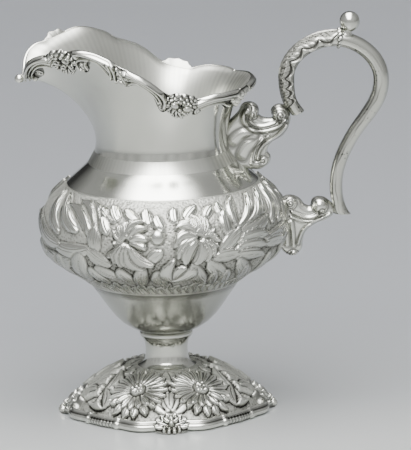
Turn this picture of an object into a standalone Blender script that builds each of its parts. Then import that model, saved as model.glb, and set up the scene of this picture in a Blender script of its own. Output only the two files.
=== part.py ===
"""Footed silver creamer: raised body, cast rim and foot borders, hollow scroll handle.

The body's axis is upright, the pouring lip points to -X and the handle to +X. The pieces are
soldered together, so each keeps a solder line of clearance from its neighbours.
"""

import math

import bmesh
import bpy
from mathutils import Matrix, Vector
from mathutils.geometry import interpolate_bezier

MM = 0.001

# Sheet and solder
SOLDER_LINE = 0.3 * MM
BODY_WALL = 1.1 * MM
FOOT_WALL = 0.9 * MM
HANDLE_WALL = 0.25  # share of the bar's radius

# Foot
BAR_RADIUS = 34.2 * MM  # inside of the foot border at its straight bars
ARC_SWELL = 1.9 * MM  # how far the arcs beside the bosses swell past the bars
BORDER_HEIGHT = 4.4 * MM
BORDER_WIDTH = 2.6 * MM
DOME_HEIGHT = 17.2 * MM
FOOT_BOSS_WIDTH = 14.0 * MM
FOOT_BOSS_LENGTH = 10.8 * MM  # down the slope of the dome
FOOT_BOSS_THICKNESS = 6.2 * MM

# Stem
STEM_WAIST_RADIUS = 7.6 * MM
STEM_FOOT_RADIUS = 11.2 * MM
STEM_HEIGHT = 11.0 * MM
FLANGE_RADIUS = 9.9 * MM
FLANGE_THICKNESS = 1.5 * MM

# Body
BODY_RADIUS = 45.5 * MM
BODY_HEIGHT = 71.7 * MM  # underside of the bowl to the waist of the neck
NECK_RADIUS = 24.3 * MM
MOUTH_HEIGHT = 19.6 * MM  # waist of the neck to the lowest stretch of the rim
MOUTH_RADIUS = 31.0 * MM
MOUTH_BACK_RADIUS = 32.4 * MM
LIP_REACH = 50.6 * MM
LIP_RISE = 17.5 * MM  # crest of the rim above its lowest stretch
LIP_DROP = 12.5 * MM  # tip of the lip below the crest
HEEL_RISE = 2.0 * MM  # rim at the handle above its lowest stretch
LIP_SPREAD = math.radians(32)
STEPS = 56

# Embossing on the body's band and on the foot's dome
BLOOM_RELIEF = 1.4 * MM
LEAF_RELIEF = 0.9 * MM
LEAF_WIDTH = 5.6 * MM
BAND_BLOOM_RADIUS = 11.0 * MM
BAND_PETALS = 13
BAND_CUP = 0.6  # height of the hollow middle, share of the petals'
DOME_BLOOM_RADIUS = 10.2 * MM
DOME_PETALS = 15
DOME_KNOB = 1.2  # height of the raised middle, share of the petals'
DOME_BAND = (0.4, 0.48, 0.84, 0.96)  # shares of the edge between which the dome's relief rises and dies
BAND_LOW = 0.275  # share of the body's height
BAND_HIGH = 0.8

# Rim border
RIM_RADIUS = 1.6 * MM
TIP_BEAD_RADIUS = 1.2 * MM
FRONT_FLOWER_ANGLE = math.radians(23)  # from the lip's tip, round the rim
SIDE_FLOWER_ANGLE = math.radians(102.5)
FLOWER_WIDTH = 10.6 * MM
FLOWER_HEIGHT = 10.6 * MM
FLOWER_DEPTH = 4.6 * MM
CLIP_ANGLE = math.radians(60)
HEEL_ANGLE = math.radians(150)

# Handle
BAR_THICK = 3.1 * MM  # radius of the bar at its back
BAR_THIN = 2.3 * MM  # radius of the bar at its lower end
HANDLE_REACH = 84.4 * MM  # body axis to the back of the bar
HANDLE_TOP = 36.0 * MM  # waist of the neck to the bar's highest centreline
LEAF_THICKNESS = 0.9 * MM
BALL_RADIUS = 3.8 * MM
COLLAR_WIDTH = 2.2 * MM
COLLAR_RISE = 0.9 * MM
BRACKET_WIDTH = 8.6 * MM
BRACKET_ROUND = 1.0 * MM  # rounding of the brackets' edges
VOLUTE_RADIUS = 3.4 * MM  # the brackets' outlines are drawn in this size

DOME_EDGE = BAR_RADIUS - SOLDER_LINE
STEM_BASE = DOME_HEIGHT
STEM_TOP = STEM_BASE + STEM_HEIGHT
BOWL_BASE = STEM_TOP + FLANGE_THICKNESS + 2 * SOLDER_LINE
NECK_Z = BOWL_BASE + BODY_HEIGHT
SPOUT_REACH = LIP_REACH + SOLDER_LINE + 2 * TIP_BEAD_RADIUS
AXIS_X = (SPOUT_REACH - HANDLE_REACH) / 2  # puts the middle of the length at X = 0

for old in list(bpy.data.objects):
    bpy.data.objects.remove(old)
creamer = bpy.data.collections.new("creamer")
cutters = bpy.data.collections.new("cutters")
bpy.context.scene.collection.children.link(creamer)
bpy.context.scene.collection.children.link(cutters)


def add(name, data, group=creamer):
    """A new object on the body's axis, with its own silver."""
    obj = bpy.data.objects.new(name, data)
    obj.location.x = AXIS_X
    group.objects.link(obj)
    silver = bpy.data.materials.new(name + "_silver")
    silver.use_nodes = True
    shader = silver.node_tree.nodes["Principled BSDF"]
    shader.inputs["Base Color"].default_value = (0.82, 0.81, 0.78, 1)
    shader.inputs["Metallic"].default_value = 1.0
    shader.inputs["Roughness"].default_value = 0.18
    data.materials.append(silver)
    return obj


def hide(obj):
    obj.hide_render = True
    obj.display_type = "WIRE"
    return obj


def baked(obj):
    """The object's mesh with its modifiers carried out, as new mesh data."""
    bpy.context.view_layer.update()
    graph = bpy.context.evaluated_depsgraph_get()
    return bpy.data.meshes.new_from_object(obj.evaluated_get(graph))


def turned(name, points, cyclic=False, steps=STEPS):
    """A profile of (radius, height) points turned about the body's axis."""
    mesh = bpy.data.meshes.new(name)
    count = len(points)
    edges = [(i, i + 1) for i in range(count - 1)]
    if cyclic:
        edges.append((count - 1, 0))
    mesh.from_pydata([(r, 0, z) for r, z in points], edges, [])
    obj = add(name, mesh)
    screw = obj.modifiers.new("Turn", "SCREW")
    screw.steps = steps
    screw.render_steps = steps
    screw.use_merge_vertices = True
    screw.merge_threshold = 0.00001
    return obj


def shell(obj, thickness):
    solidify = obj.modifiers.new("Sheet", "SOLIDIFY")
    solidify.thickness = thickness
    solidify.offset = -1


def cut(obj, cutter):
    boolean = obj.modifiers.new("Cut", "BOOLEAN")
    boolean.operation = "DIFFERENCE"
    boolean.solver = "EXACT"
    boolean.object = cutter


def swept(name, stations, radii=None, section=None, depth=0.0, twist="MINIMUM"):
    """A bar along the stations: round with the given depth, or with a section's outline."""
    curve = bpy.data.curves.new(name, "CURVE")
    curve.dimensions = "3D"
    curve.twist_mode = twist
    curve.use_fill_caps = True
    spline = curve.splines.new("POLY")
    spline.points.add(len(stations) - 1)
    for i, station in enumerate(stations):
        spline.points[i].co = (*station, 1)
        spline.points[i].radius = radii[i] if radii else 1.0
    if section:
        curve.bevel_mode = "OBJECT"
        curve.bevel_object = section
    else:
        curve.bevel_depth = depth
        curve.bevel_resolution = 1
    return add(name, curve)


def section_of(name, points):
    """A closed outline for a bar's section, run clockwise and kept with the cutters."""
    area = sum(a[0] * b[1] - b[0] * a[1] for a, b in zip(points, points[1:] + points[:1]))
    if area > 0:
        points = points[::-1]
    curve = bpy.data.curves.new(name, "CURVE")
    curve.dimensions = "2D"
    spline = curve.splines.new("POLY")
    spline.points.add(len(points) - 1)
    for i, (x, y) in enumerate(points):
        spline.points[i].co = (x, y, 0, 1)
    spline.use_cyclic_u = True
    obj = hide(add(name, curve, cutters))
    obj.location.x = 0
    return obj


def ball(name, centre, axes, segments=16, rings=10):
    """A round boss: a sphere stretched along three axes."""
    bm = bmesh.new()
    bmesh.ops.create_uvsphere(bm, u_segments=segments, v_segments=rings, radius=1)
    frame = Matrix(axes).transposed().to_4x4()
    frame.translation = centre
    bm.transform(frame)
    bmesh.ops.recalc_face_normals(bm, faces=bm.faces)
    mesh = bpy.data.meshes.new(name)
    bm.to_mesh(mesh)
    bm.free()
    return add(name, mesh)


def eased(t):
    t = min(max(t, 0), 1)
    return t * t * (3 - 2 * t)


# The body is raised from one sheet: turned up to the waist of the neck, then flared and drawn
# out into the lip. Angles round the rim run from the lip's tip (0) to the handle (pi).
def rim_radius(angle):
    lip = math.exp(-((abs(angle) / LIP_SPREAD) ** 1.6))
    back = eased((abs(angle) - math.radians(75)) / math.radians(105))
    return (
        MOUTH_RADIUS
        + (MOUTH_BACK_RADIUS - MOUTH_RADIUS) * back
        + (LIP_REACH - MOUTH_RADIUS) * lip
    )


def rim_height(angle):
    crest = 1 - eased((abs(angle) - math.radians(33)) / math.radians(80))
    tip = math.exp(-((abs(angle) / math.radians(12.5)) ** 1.5))
    heel = eased((abs(angle) - math.radians(130)) / math.radians(50))
    return MOUTH_HEIGHT + LIP_RISE * crest - LIP_DROP * tip + HEEL_RISE * heel


def lip_point(angle, share):
    """A point of the flared neck: share 0 at its waist, 1 at the rim."""
    flare = math.radians(48) + math.radians(38) * math.exp(-((angle / math.radians(20)) ** 2))
    bend = share * flare
    out = ((1 - math.cos(bend)) / (1 - math.cos(flare))) ** 0.88
    up = math.sin(bend) / math.sin(flare)
    radius = NECK_RADIUS + (rim_radius(angle) - NECK_RADIUS) * out
    return Vector(
        (
            -radius * math.cos(angle),
            -radius * math.sin(angle),
            NECK_Z + rim_height(angle) * up,
        )
    )


BOWL = [
    (0.213, 0.0), (0.322, 0.04), (0.404, 0.096), (0.473, 0.158), (0.529, 0.209), (0.618, 0.275),
    (0.722, 0.322), (0.844, 0.371), (0.938, 0.424), (0.987, 0.484), (1.0, 0.554),
]  # share of the body's radius, share of its height
SHOULDER = [
    (0.975, 0.623), (0.858, 0.697), (0.698, 0.745), (0.5, 0.791), (0.307, 0.837), (0.132, 0.895),
    (0.033, 0.951), (0.0, 1.0),
]  # share of the step from neck to body radius, share of the height
LIP_ROWS = 6

profile = [(0.0, BOWL_BASE)]
profile += [(r * BODY_RADIUS, BOWL_BASE + z * BODY_HEIGHT) for r, z in BOWL]
profile += [
    (NECK_RADIUS + r * (BODY_RADIUS - NECK_RADIUS), BOWL_BASE + z * BODY_HEIGHT)
    for r, z in SHOULDER
]
profile += [(NECK_RADIUS, NECK_Z + MOUTH_HEIGHT * (i + 1) / LIP_ROWS) for i in range(LIP_ROWS)]
body = turned("body_shell", profile[::-1])
raised = baked(body)
for vertex in raised.vertices:
    share = (vertex.co.z - NECK_Z) / MOUTH_HEIGHT
    if share > 0.01:
        vertex.co = lip_point(math.atan2(-vertex.co.y, -vertex.co.x), share)
bm = bmesh.new()
bm.from_mesh(raised)
bmesh.ops.triangulate(bm, faces=bm.faces, quad_method="SHORT_EDGE")
bm.to_mesh(raised)
bm.free()
body.modifiers.clear()
body.data = raised
shell(body, BODY_WALL)


# Flowers and leaves are embossed on the finished sheet, so that they stand proud of its outside.
def blade_rise(place, foot, tip, width=LEAF_WIDTH):
    """How far a leaf stands at a place on the sheet: 1 along its middle, 0 at its edge."""
    run = tip - foot
    t = min(max((place - foot).dot(run) / run.length_squared, 0), 1)
    half = width / 2 * math.sqrt(math.sin(math.pi * (0.15 + 0.75 * t)))
    return max(0, 1 - ((place - foot - run * t).length / half) ** 2)


def bloom_rise(place, centre, radius, petals, middle):
    """How far a flower stands: a ring of petals round a cup or a knob, whose height is middle."""
    off = place - centre
    wave = math.cos(petals * math.atan2(off.y, off.x))
    far = min(off.length / (radius * (0.9 + 0.1 * wave)), 1)
    petal = 0.78 + 0.22 * wave * eased(2 * far)
    return (1 - far**6) * petal * (middle + (1 - middle) * eased(4 * far))


def run_along(points, value, axis):
    """Distance along a profile to where its radius (axis 0) or its height (axis 1) has a value."""
    total = 0
    for start, end in zip(points, points[1:]):
        part = (value - start[axis]) / (end[axis] - start[axis])
        total += min(max(part, 0), 1) * math.hypot(end[0] - start[0], end[1] - start[1])
    return total


def emboss(obj, faces_out, bloom, rise):
    """Halves the faces that look out, and again those under a bloom, lifts their points by the rise,
    and makes all triangles."""
    mesh = baked(obj)
    bm = bmesh.new()
    bm.from_mesh(mesh)
    bm.normal_update()
    for finer in (lambda place: True, lambda place: bloom(place) > 0):
        faces = []
        for face in bm.faces:
            place = face.calc_center_median()
            if faces_out(place, face.normal) and finer(place):
                faces.append(face)
        edges = list({edge for face in faces for edge in face.edges})
        bmesh.ops.subdivide_edges(bm, edges=edges, cuts=1, use_grid_fill=True)
        bm.normal_update()
    lifted = [vertex.co + vertex.normal * rise(vertex.co, vertex.normal) for vertex in bm.verts]
    for vertex, place in zip(bm.verts, lifted):
        vertex.co = place
    bmesh.ops.triangulate(bm, faces=bm.faces, quad_method="SHORT_EDGE")
    bm.to_mesh(mesh)
    bm.free()
    obj.modifiers.clear()
    obj.data = mesh


def from_front(place):
    """Degrees from square on to the nearer side of the body, towards the handle."""
    return math.degrees(math.atan2(place.x, abs(place.y)))


def on_band(degrees, share):
    """A place on the unrolled band: mm round the body from square on, and up its profile."""
    climb = run_along(profile[1:], BOWL_BASE + share * BODY_HEIGHT, 1)
    return Vector((BODY_RADIUS * math.radians(degrees), climb))


BAND_BLOOMS = [on_band(-19.5, 0.607), on_band(15, 0.615)]
BAND_LEAVES = [
    (on_band(start, low), on_band(end, high))
    for start, low, end, high in (
        (-40, 0.6, -62, 0.75), (-36, 0.66, -48, 0.77), (-58, 0.55, -82, 0.65), (-53, 0.47, -76, 0.48),
        (-74, 0.56, -100, 0.74), (-50, 0.36, -44, 0.52), (-25, 0.4, -36, 0.45), (-66, 0.37, -62, 0.46),
        (-80, 0.37, -78, 0.48), (36, 0.62, 63, 0.77), (36, 0.6, 57, 0.65), (36, 0.55, 55, 0.55),
        (61, 0.62, 73, 0.77), (68, 0.62, 85, 0.76), (54, 0.55, 75, 0.59), (6, 0.38, -3, 0.53),
        (54, 0.36, 36, 0.48), (66, 0.37, 58, 0.48), (80, 0.37, 73, 0.48), (24, 0.38, 14, 0.45),
        (-14, 0.36, -13, 0.46), (36, 0.72, 41, 0.78), (-26, 0.74, -36, 0.77), (4, 0.73, -4, 0.76),
    )
]
BRACKET_CLEAR = (72, 82)  # degrees between which the relief dies away towards the lower bracket


def band_faces(place, normal):
    share = (place.z - BOWL_BASE) / BODY_HEIGHT
    return BAND_LOW < share < BAND_HIGH and normal.x * place.x + normal.y * place.y > 0


def band_spot(place):
    return on_band(from_front(place), (place.z - BOWL_BASE) / BODY_HEIGHT)


def band_bloom(place):
    spot = band_spot(place)
    return max(bloom_rise(spot, centre, BAND_BLOOM_RADIUS, BAND_PETALS, BAND_CUP) for centre in BAND_BLOOMS)


def band_rise(place, normal):
    if not band_faces(place, normal):
        return 0
    spot = band_spot(place)
    leaf = LEAF_RELIEF * max(blade_rise(spot, foot, tip) for foot, tip in BAND_LEAVES)
    clear = (from_front(place) - BRACKET_CLEAR[0]) / (BRACKET_CLEAR[1] - BRACKET_CLEAR[0])
    return max(leaf, BLOOM_RELIEF * band_bloom(place)) * (1 - eased(clear))


emboss(body, band_faces, band_bloom, band_rise)

# A seat is a sheet's outside grown by the solder line and closed by a point on the axis. It shapes
# the backs of the castings that sit on the sheet.
def seat_of(name, sheet, lift, point):
    """Grows the sheet, carries its open edge up or down by the lift, and draws it to the point."""
    bm = bmesh.new()
    bm.from_mesh(sheet)
    bm.normal_update()
    grown = [v.co + v.normal * SOLDER_LINE for v in bm.verts]
    for vertex, place in zip(bm.verts, grown):
        vertex.co = place
    edges = [edge for edge in bm.edges if edge.is_boundary]
    for part in bmesh.ops.extrude_edge_only(bm, edges=edges)["geom"]:
        if isinstance(part, bmesh.types.BMVert):
            part.co.z += lift
    peak = bm.verts.new((0, 0, point))
    for edge in [edge for edge in bm.edges if edge.is_boundary]:
        bm.faces.new((edge.verts[0], edge.verts[1], peak))
    bmesh.ops.recalc_face_normals(bm, faces=bm.faces)
    mesh = bpy.data.meshes.new(name)
    bm.to_mesh(mesh)
    bm.free()
    return hide(add(name, mesh, cutters))


body_peak = NECK_Z + MOUTH_HEIGHT + LIP_RISE + NECK_RADIUS
seat = seat_of("body_seat", raised, BODY_WALL + SOLDER_LINE, body_peak)


# The rim border is cast in lengths that butt against flower bosses.
def rim_station(angle, side, radius):
    """Where a border length's centreline passes, just outside the edge of the wall."""
    here = lip_point(angle, 1)
    along = lip_point(angle + 0.01, 1) - lip_point(angle - 0.01, 1)
    out = Vector((along.y, -along.x, 0)).normalized()
    if out.x * here.x + out.y * here.y < 0:
        out = -out
    place = here + out * (radius + SOLDER_LINE)
    return Vector((place.x, place.y * side, place.z))


def rim_angle(angle, distance):
    """The angle that lies this far along the rim from another one."""
    step = math.copysign(math.radians(0.25), distance)
    gone = 0
    while gone < abs(distance):
        gone += (lip_point(angle + step, 1) - lip_point(angle, 1)).length
        angle += step
    return angle


def rim_length(name, first, last, side, ends=(0.7, 0.7), count=12):
    """A round scroll of the border between two angles, thinner at its ends."""
    stations = []
    radii = []
    for i in range(count):
        t = i / (count - 1)
        taper = ends[0] + (1 - ends[0]) * eased(3 * t)
        taper = min(taper, ends[1] + (1 - ends[1]) * eased(3 * (1 - t)))
        stations.append(rim_station(first + (last - first) * t, side, RIM_RADIUS))
        radii.append(taper)
    return swept(name, stations, radii, depth=RIM_RADIUS)


def rim_flower(name, angle, side, drop):
    """A flower boss on the outside of the wall, its back shaped to the body. The drop is its
    centre's share of the height below the rim."""
    share = 1 - drop * FLOWER_HEIGHT / (lip_point(angle, 1) - lip_point(angle, 0)).length
    centre = lip_point(angle, share)
    along = (lip_point(angle + 0.02, share) - lip_point(angle - 0.02, share)).normalized()
    up = (lip_point(angle, 1) - lip_point(angle, share - 0.2)).normalized()
    out = up.cross(along).normalized()
    if out.x * centre.x + out.y * centre.y < 0:
        out = -out
    up = along.cross(out).normalized() * math.copysign(1, along.cross(out).z)
    centre = centre + out * FLOWER_DEPTH * 0.2
    axes = [along * FLOWER_WIDTH / 2, out * FLOWER_DEPTH / 2, up * FLOWER_HEIGHT / 2]
    mirror = Vector((1, side, 1))
    boss = ball(name, centre * mirror, [axis * mirror for axis in axes])
    cut(boss, seat)
    return boss


HALF_FLOWER = FLOWER_WIDTH / 2 + RIM_RADIUS * 0.5
for side, word in ((1, "near"), (-1, "far")):
    front_start = rim_angle(FRONT_FLOWER_ANGLE, -HALF_FLOWER)
    front_end = rim_angle(FRONT_FLOWER_ANGLE, HALF_FLOWER)
    side_start = rim_angle(SIDE_FLOWER_ANGLE, -HALF_FLOWER)
    side_end = rim_angle(SIDE_FLOWER_ANGLE, HALF_FLOWER)
    lip_start = rim_angle(0, 2.2 * TIP_BEAD_RADIUS)
    clip_end = rim_angle(CLIP_ANGLE, SOLDER_LINE)
    heel_start = rim_angle(HEEL_ANGLE, -SOLDER_LINE)
    rim_length("rim_lip_scroll_" + word, lip_start, front_start, side, (0.5, 0.8))
    rim_flower("rim_front_flower_" + word, FRONT_FLOWER_ANGLE, side, 0.24)
    rim_length("rim_long_scroll_" + word, front_end, CLIP_ANGLE, side, (0.8, 0.9))
    rim_length("rim_mid_scroll_" + word, clip_end, side_start, side, (0.9, 0.7))
    rim_flower("rim_side_flower_" + word, SIDE_FLOWER_ANGLE, side, 0.12)
    rim_length("rim_back_scroll_" + word, side_end, heel_start, side, (0.7, 0.8))

heel_turn = 2 * (math.pi - HEEL_ANGLE)
heel = [rim_station(HEEL_ANGLE + heel_turn * i / 12, 1, RIM_RADIUS) for i in range(13)]
swept("rim_heel_mount", heel, depth=RIM_RADIUS)
tip = lip_point(0, 1) + Vector((-TIP_BEAD_RADIUS - SOLDER_LINE, 0, 0))
ball(
    "rim_tip_bead",
    tip,
    [(TIP_BEAD_RADIUS, 0, 0), (0, TIP_BEAD_RADIUS, 0), (0, 0, TIP_BEAD_RADIUS)],
    12,
    8,
)


# The foot's outline has four bosses a quarter turn apart, with an arc, a bar and an arc between.
def border_radius(angle):
    nearest = abs((angle + math.pi / 4) % (math.pi / 2) - math.pi / 4)
    t = (nearest - math.radians(5)) / math.radians(28)
    swell = math.sin(math.pi * t) ** 2 if 0 < t < 1 else 0
    return BAR_RADIUS + ARC_SWELL * swell


dome_points = [(0.395, 0.97), (0.53, 0.89), (0.68, 0.74), (0.825, 0.53), (0.93, 0.31)]
dome_profile = [(STEM_FOOT_RADIUS + SOLDER_LINE, DOME_HEIGHT)]
dome_profile += [(r * DOME_EDGE, z * DOME_HEIGHT) for r, z in dome_points]
dome_profile += [(DOME_EDGE - 0.45 * FOOT_WALL, 1.1 * FOOT_WALL)]
dome = turned("foot_dome", dome_profile)
chased = baked(dome)
for vertex in chased.vertices:
    radius = math.hypot(vertex.co.x, vertex.co.y)
    angle = math.atan2(vertex.co.y, vertex.co.x)
    reach = eased((radius / DOME_EDGE - 0.75) / 0.25)
    grow = 1 + (border_radius(angle) / BAR_RADIUS - 1) * reach
    vertex.co.x *= grow
    vertex.co.y *= grow
dome.modifiers.clear()
dome.data = chased
shell(dome, FOOT_WALL)


def on_dome(degrees, share):
    """A place on the unrolled dome: mm round it from square on, and out along its profile."""
    radius = share * DOME_EDGE
    return Vector((radius * math.radians(degrees), run_along(dome_profile, radius, 0)))


DOME_BLOOMS = [on_dome(-28, 0.715), on_dome(28, 0.715)]
DOME_LEAVES = [
    (on_dome(start, low), on_dome(end, high))
    for start, low, end, high in (
        (60, 0.5, 63, 0.84), (-60, 0.5, -63, 0.84), (74, 0.5, 76, 0.8), (-74, 0.5, -76, 0.8),
        (88, 0.5, 89, 0.74), (-88, 0.5, -89, 0.74),
    )
]


def dome_faces(place, normal):
    return normal.z > 0.1


def dome_spot(place):
    return on_dome(from_front(place), math.hypot(place.x, place.y) / DOME_EDGE)


def dome_bloom(place):
    spot = dome_spot(place)
    return max(bloom_rise(spot, centre, DOME_BLOOM_RADIUS, DOME_PETALS, DOME_KNOB) for centre in DOME_BLOOMS)


def dome_rise(place, normal):
    if not dome_faces(place, normal):
        return 0
    spot = dome_spot(place)
    leaf = LEAF_RELIEF * max(blade_rise(spot, foot, tip) for foot, tip in DOME_LEAVES)
    share = math.hypot(place.x, place.y) / DOME_EDGE
    start, full, fading, end = DOME_BAND
    fade = eased((share - start) / (full - start)) * (1 - eased((share - fading) / (end - fading)))
    return max(leaf, BLOOM_RELIEF * dome_bloom(place)) * fade


emboss(dome, dome_faces, dome_bloom, dome_rise)
foot_seat = seat_of("foot_seat", chased, 0, 0.5 * DOME_HEIGHT)

border_section = section_of(
    "border_section",
    [
        (0, 0), (BORDER_WIDTH, 0), (BORDER_WIDTH, 0.3 * BORDER_HEIGHT),
        (0.85 * BORDER_WIDTH, 0.5 * BORDER_HEIGHT), (0.75 * BORDER_WIDTH, 0.8 * BORDER_HEIGHT),
        (0.4 * BORDER_WIDTH, BORDER_HEIGHT), (0, 0.9 * BORDER_HEIGHT),
    ],
)
boss_half = math.asin((FOOT_BOSS_WIDTH / 2 + SOLDER_LINE) / BAR_RADIUS)
for quarter, word in enumerate(("handle_far", "lip_far", "lip_near", "handle_near")):
    first = quarter * math.pi / 2 + boss_half
    last = (quarter + 1) * math.pi / 2 - boss_half
    stations = []
    for i in range(19):
        angle = first + (last - first) * i / 18
        radius = border_radius(angle)
        stations.append((radius * math.cos(angle), radius * math.sin(angle), 0))
    swept("foot_border_" + word, stations, section=border_section, twist="Z_UP")

for quarter, word in enumerate(("handle", "far", "lip", "near")):
    angle = quarter * math.pi / 2
    slope = math.radians(35)
    out = Vector((math.cos(angle), math.sin(angle), 0))
    along = Vector((-math.sin(angle), math.cos(angle), 0))
    up = Vector((0, 0, 1))
    down = out * math.cos(slope) - up * math.sin(slope)
    off = out * math.sin(slope) + up * math.cos(slope)
    centre = out * (BAR_RADIUS + 0.21 * FOOT_BOSS_LENGTH) + up * 0.6 * FOOT_BOSS_THICKNESS
    half_sizes = (FOOT_BOSS_WIDTH / 2, FOOT_BOSS_THICKNESS / 2, FOOT_BOSS_LENGTH / 2)
    axes = [axis * half for axis, half in zip((along, off, down), half_sizes)]
    boss = ball("foot_boss_" + word, centre, axes)
    bm = bmesh.new()
    bm.from_mesh(boss.data)
    geometry = bm.verts[:] + bm.edges[:] + bm.faces[:]
    bmesh.ops.bisect_plane(bm, geom=geometry, plane_no=-up, clear_outer=True)
    bmesh.ops.holes_fill(bm, edges=bm.edges, sides=0)
    bmesh.ops.recalc_face_normals(bm, faces=bm.faces)
    bm.to_mesh(boss.data)
    bm.free()
    cut(boss, foot_seat)

# The stem is a spun spool with a flared foot and top; a flange ring joins it to the bowl.
stem_shares = [(1.0, 0.0), (0.82, 0.1), (0.72, 0.27), (0.68, 0.5), (0.69, 0.64), (0.85, 1.0)]
waist = STEM_WAIST_RADIUS / (0.68 * STEM_FOOT_RADIUS)
outer = []
for share, rise in stem_shares:
    radius = share * STEM_FOOT_RADIUS * (waist if 0 < rise else 1)
    outer.append((radius, STEM_BASE + rise * STEM_HEIGHT))
inner = [(r - FOOT_WALL, z) for r, z in outer]
turned("stem_spool", outer[::-1] + inner, cyclic=True, steps=40)
flange_z = STEM_TOP + SOLDER_LINE
turned(
    "stem_flange",
    [
        (FLANGE_RADIUS, flange_z + FLANGE_THICKNESS), (FLANGE_RADIUS, flange_z),
        (0.5 * FLANGE_RADIUS, flange_z), (0.5 * FLANGE_RADIUS, flange_z + FLANGE_THICKNESS),
    ],
    cyclic=True,
    steps=40,
)

# The handle's centreline is a scroll: up from the upper bracket, over the top, down to the lower
# one. Its two struck halves meet on the mid-plane.
def in_volutes(x, z):
    return Vector((x, 0, z)) * VOLUTE_RADIUS


UPPER_VOLUTE = Vector((NECK_RADIUS, 0, NECK_Z)) + in_volutes(5.79, 2.56)
LOWER_VOLUTE = Vector((BODY_RADIUS, 0, BOWL_BASE + 0.64 * BODY_HEIGHT)) + in_volutes(3.76, 0)
ARM_FOOT = UPPER_VOLUTE + in_volutes(1.85, 0.18)
BAR_FOOT = LOWER_VOLUTE + in_volutes(2.47, -1.06)
ARM_X = UPPER_VOLUTE.x + 0.88 * VOLUTE_RADIUS
BACK_X = HANDLE_REACH - BAR_THICK
ELBOW_X = LOWER_VOLUTE.x + 0.487 * (BACK_X - LOWER_VOLUTE.x)
ELBOW_Z = LOWER_VOLUTE.z + 0.388 * (NECK_Z + HANDLE_TOP - LOWER_VOLUTE.z)
knots = [  # centre, which way the bar runs there, radius
    (ARM_FOOT, (-0.58, 0.81), 0.72 * BAR_THICK),
    (Vector((ARM_X, 0, NECK_Z + 0.61 * HANDLE_TOP)), (0, 1), 0.88 * BAR_THICK),
    (Vector(((ARM_X + BACK_X) / 2, 0, NECK_Z + HANDLE_TOP)), (1, 0), 0.94 * BAR_THICK),
    (Vector((BACK_X, 0, NECK_Z + 0.57 * HANDLE_TOP)), (0, -1), BAR_THICK),
    (Vector((ELBOW_X, 0, ELBOW_Z)), (-0.5, -0.87), 0.85 * BAR_THICK),
    (LOWER_VOLUTE + in_volutes(1.65, 1.76), (0, -1), 1.1 * BAR_THIN),
    (BAR_FOOT, (0.55, -0.83), BAR_THIN),
]
STRETCH_STEPS = 6
scroll = []
for (start, leaving, thick), (end, arriving, thin) in zip(knots, knots[1:]):
    pull = 0.37 * (end - start).length
    first_handle = start + Vector((leaving[0], 0, leaving[1])) * pull
    last_handle = end - Vector((arriving[0], 0, arriving[1])) * pull
    points = interpolate_bezier(start, first_handle, last_handle, end, STRETCH_STEPS + 1)
    for i in range(STRETCH_STEPS):
        scroll.append((points[i], thick + (thin - thick) * eased(i / STRETCH_STEPS)))
scroll.append((BAR_FOOT, BAR_THIN))


def scroll_at(place):
    """Centre and radius of the bar between two stations of the scroll."""
    before, after = scroll[int(place)], scroll[int(place) + 1]
    part = place % 1
    return before[0].lerp(after[0], part), before[1] + (after[1] - before[1]) * part


def arc(radius, first, last, count):
    """Points of an arc about the bar's centre, in shares of the bar's radius."""
    turns = [first + (last - first) * i / (count - 1) for i in range(count)]
    return [(radius * math.sin(turn), -radius * math.cos(turn)) for turn in turns]


half_gap = 0.06
for side, word in ((-1, "near"), (1, "far")):
    outline = arc(1.0, 0, math.pi, 7) + arc(1 - HANDLE_WALL, math.pi, 0, 7)
    outline = [(side * (x + half_gap), y) for x, y in outline]
    half = section_of("half_section_" + word, outline)
    swept("handle_half_" + word, [p for p, r in scroll], [r for p, r in scroll], section=half)

# The leaf lies over the outside of the arm, from above the bracket to the thumb collar.
leaf_inner = 1 + SOLDER_LINE / (0.7 * BAR_THICK) + half_gap
leaf_outer = leaf_inner + LEAF_THICKNESS / (0.9 * BAR_THICK)
leaf_outline = arc(leaf_outer, math.radians(-105), math.radians(105), 10)
leaf_outline += arc(leaf_inner, math.radians(105), math.radians(-105), 10)
leaf_section = section_of("leaf_section", leaf_outline)
leaf_run = scroll[4:13]
swept("handle_leaf", [p for p, r in leaf_run], [r for p, r in leaf_run], section=leaf_section)

# The thumb collar rings the bar at the leaf's end, and the ball stands on the bar behind it.
collar_at, collar_radius = scroll_at(12.5)
collar_way = (scroll[13][0] - scroll[12][0]).normalized()
collar_half = COLLAR_WIDTH / 2
collar_in = collar_radius * (1 + half_gap) + SOLDER_LINE
collar_out = collar_in + COLLAR_RISE
collar_edge = collar_in + 0.75 * COLLAR_RISE
collar = turned(
    "thumb_collar",
    [
        (collar_edge, collar_half), (collar_out, 0.6 * collar_half),
        (collar_out, -0.6 * collar_half), (collar_edge, -collar_half),
        (collar_in, -collar_half), (collar_in, collar_half),
    ],
    cyclic=True,
    steps=24,
)
collar.location = collar_at + Vector((AXIS_X, 0, 0))
collar.rotation_euler = collar_way.to_track_quat("Z", "Y").to_euler()
ball_at, ball_seat = scroll_at(13.0)
ball_seat = ball_seat * (1 + half_gap) + SOLDER_LINE + BALL_RADIUS
ball_way = (scroll[14][0] - scroll[13][0]).normalized()
ball(
    "thumb_ball",
    ball_at + Vector((-ball_way.z, 0, ball_way.x)) * ball_seat,
    [(BALL_RADIUS, 0, 0), (0, BALL_RADIUS, 0), (0, 0, BALL_RADIUS)],
)


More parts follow.
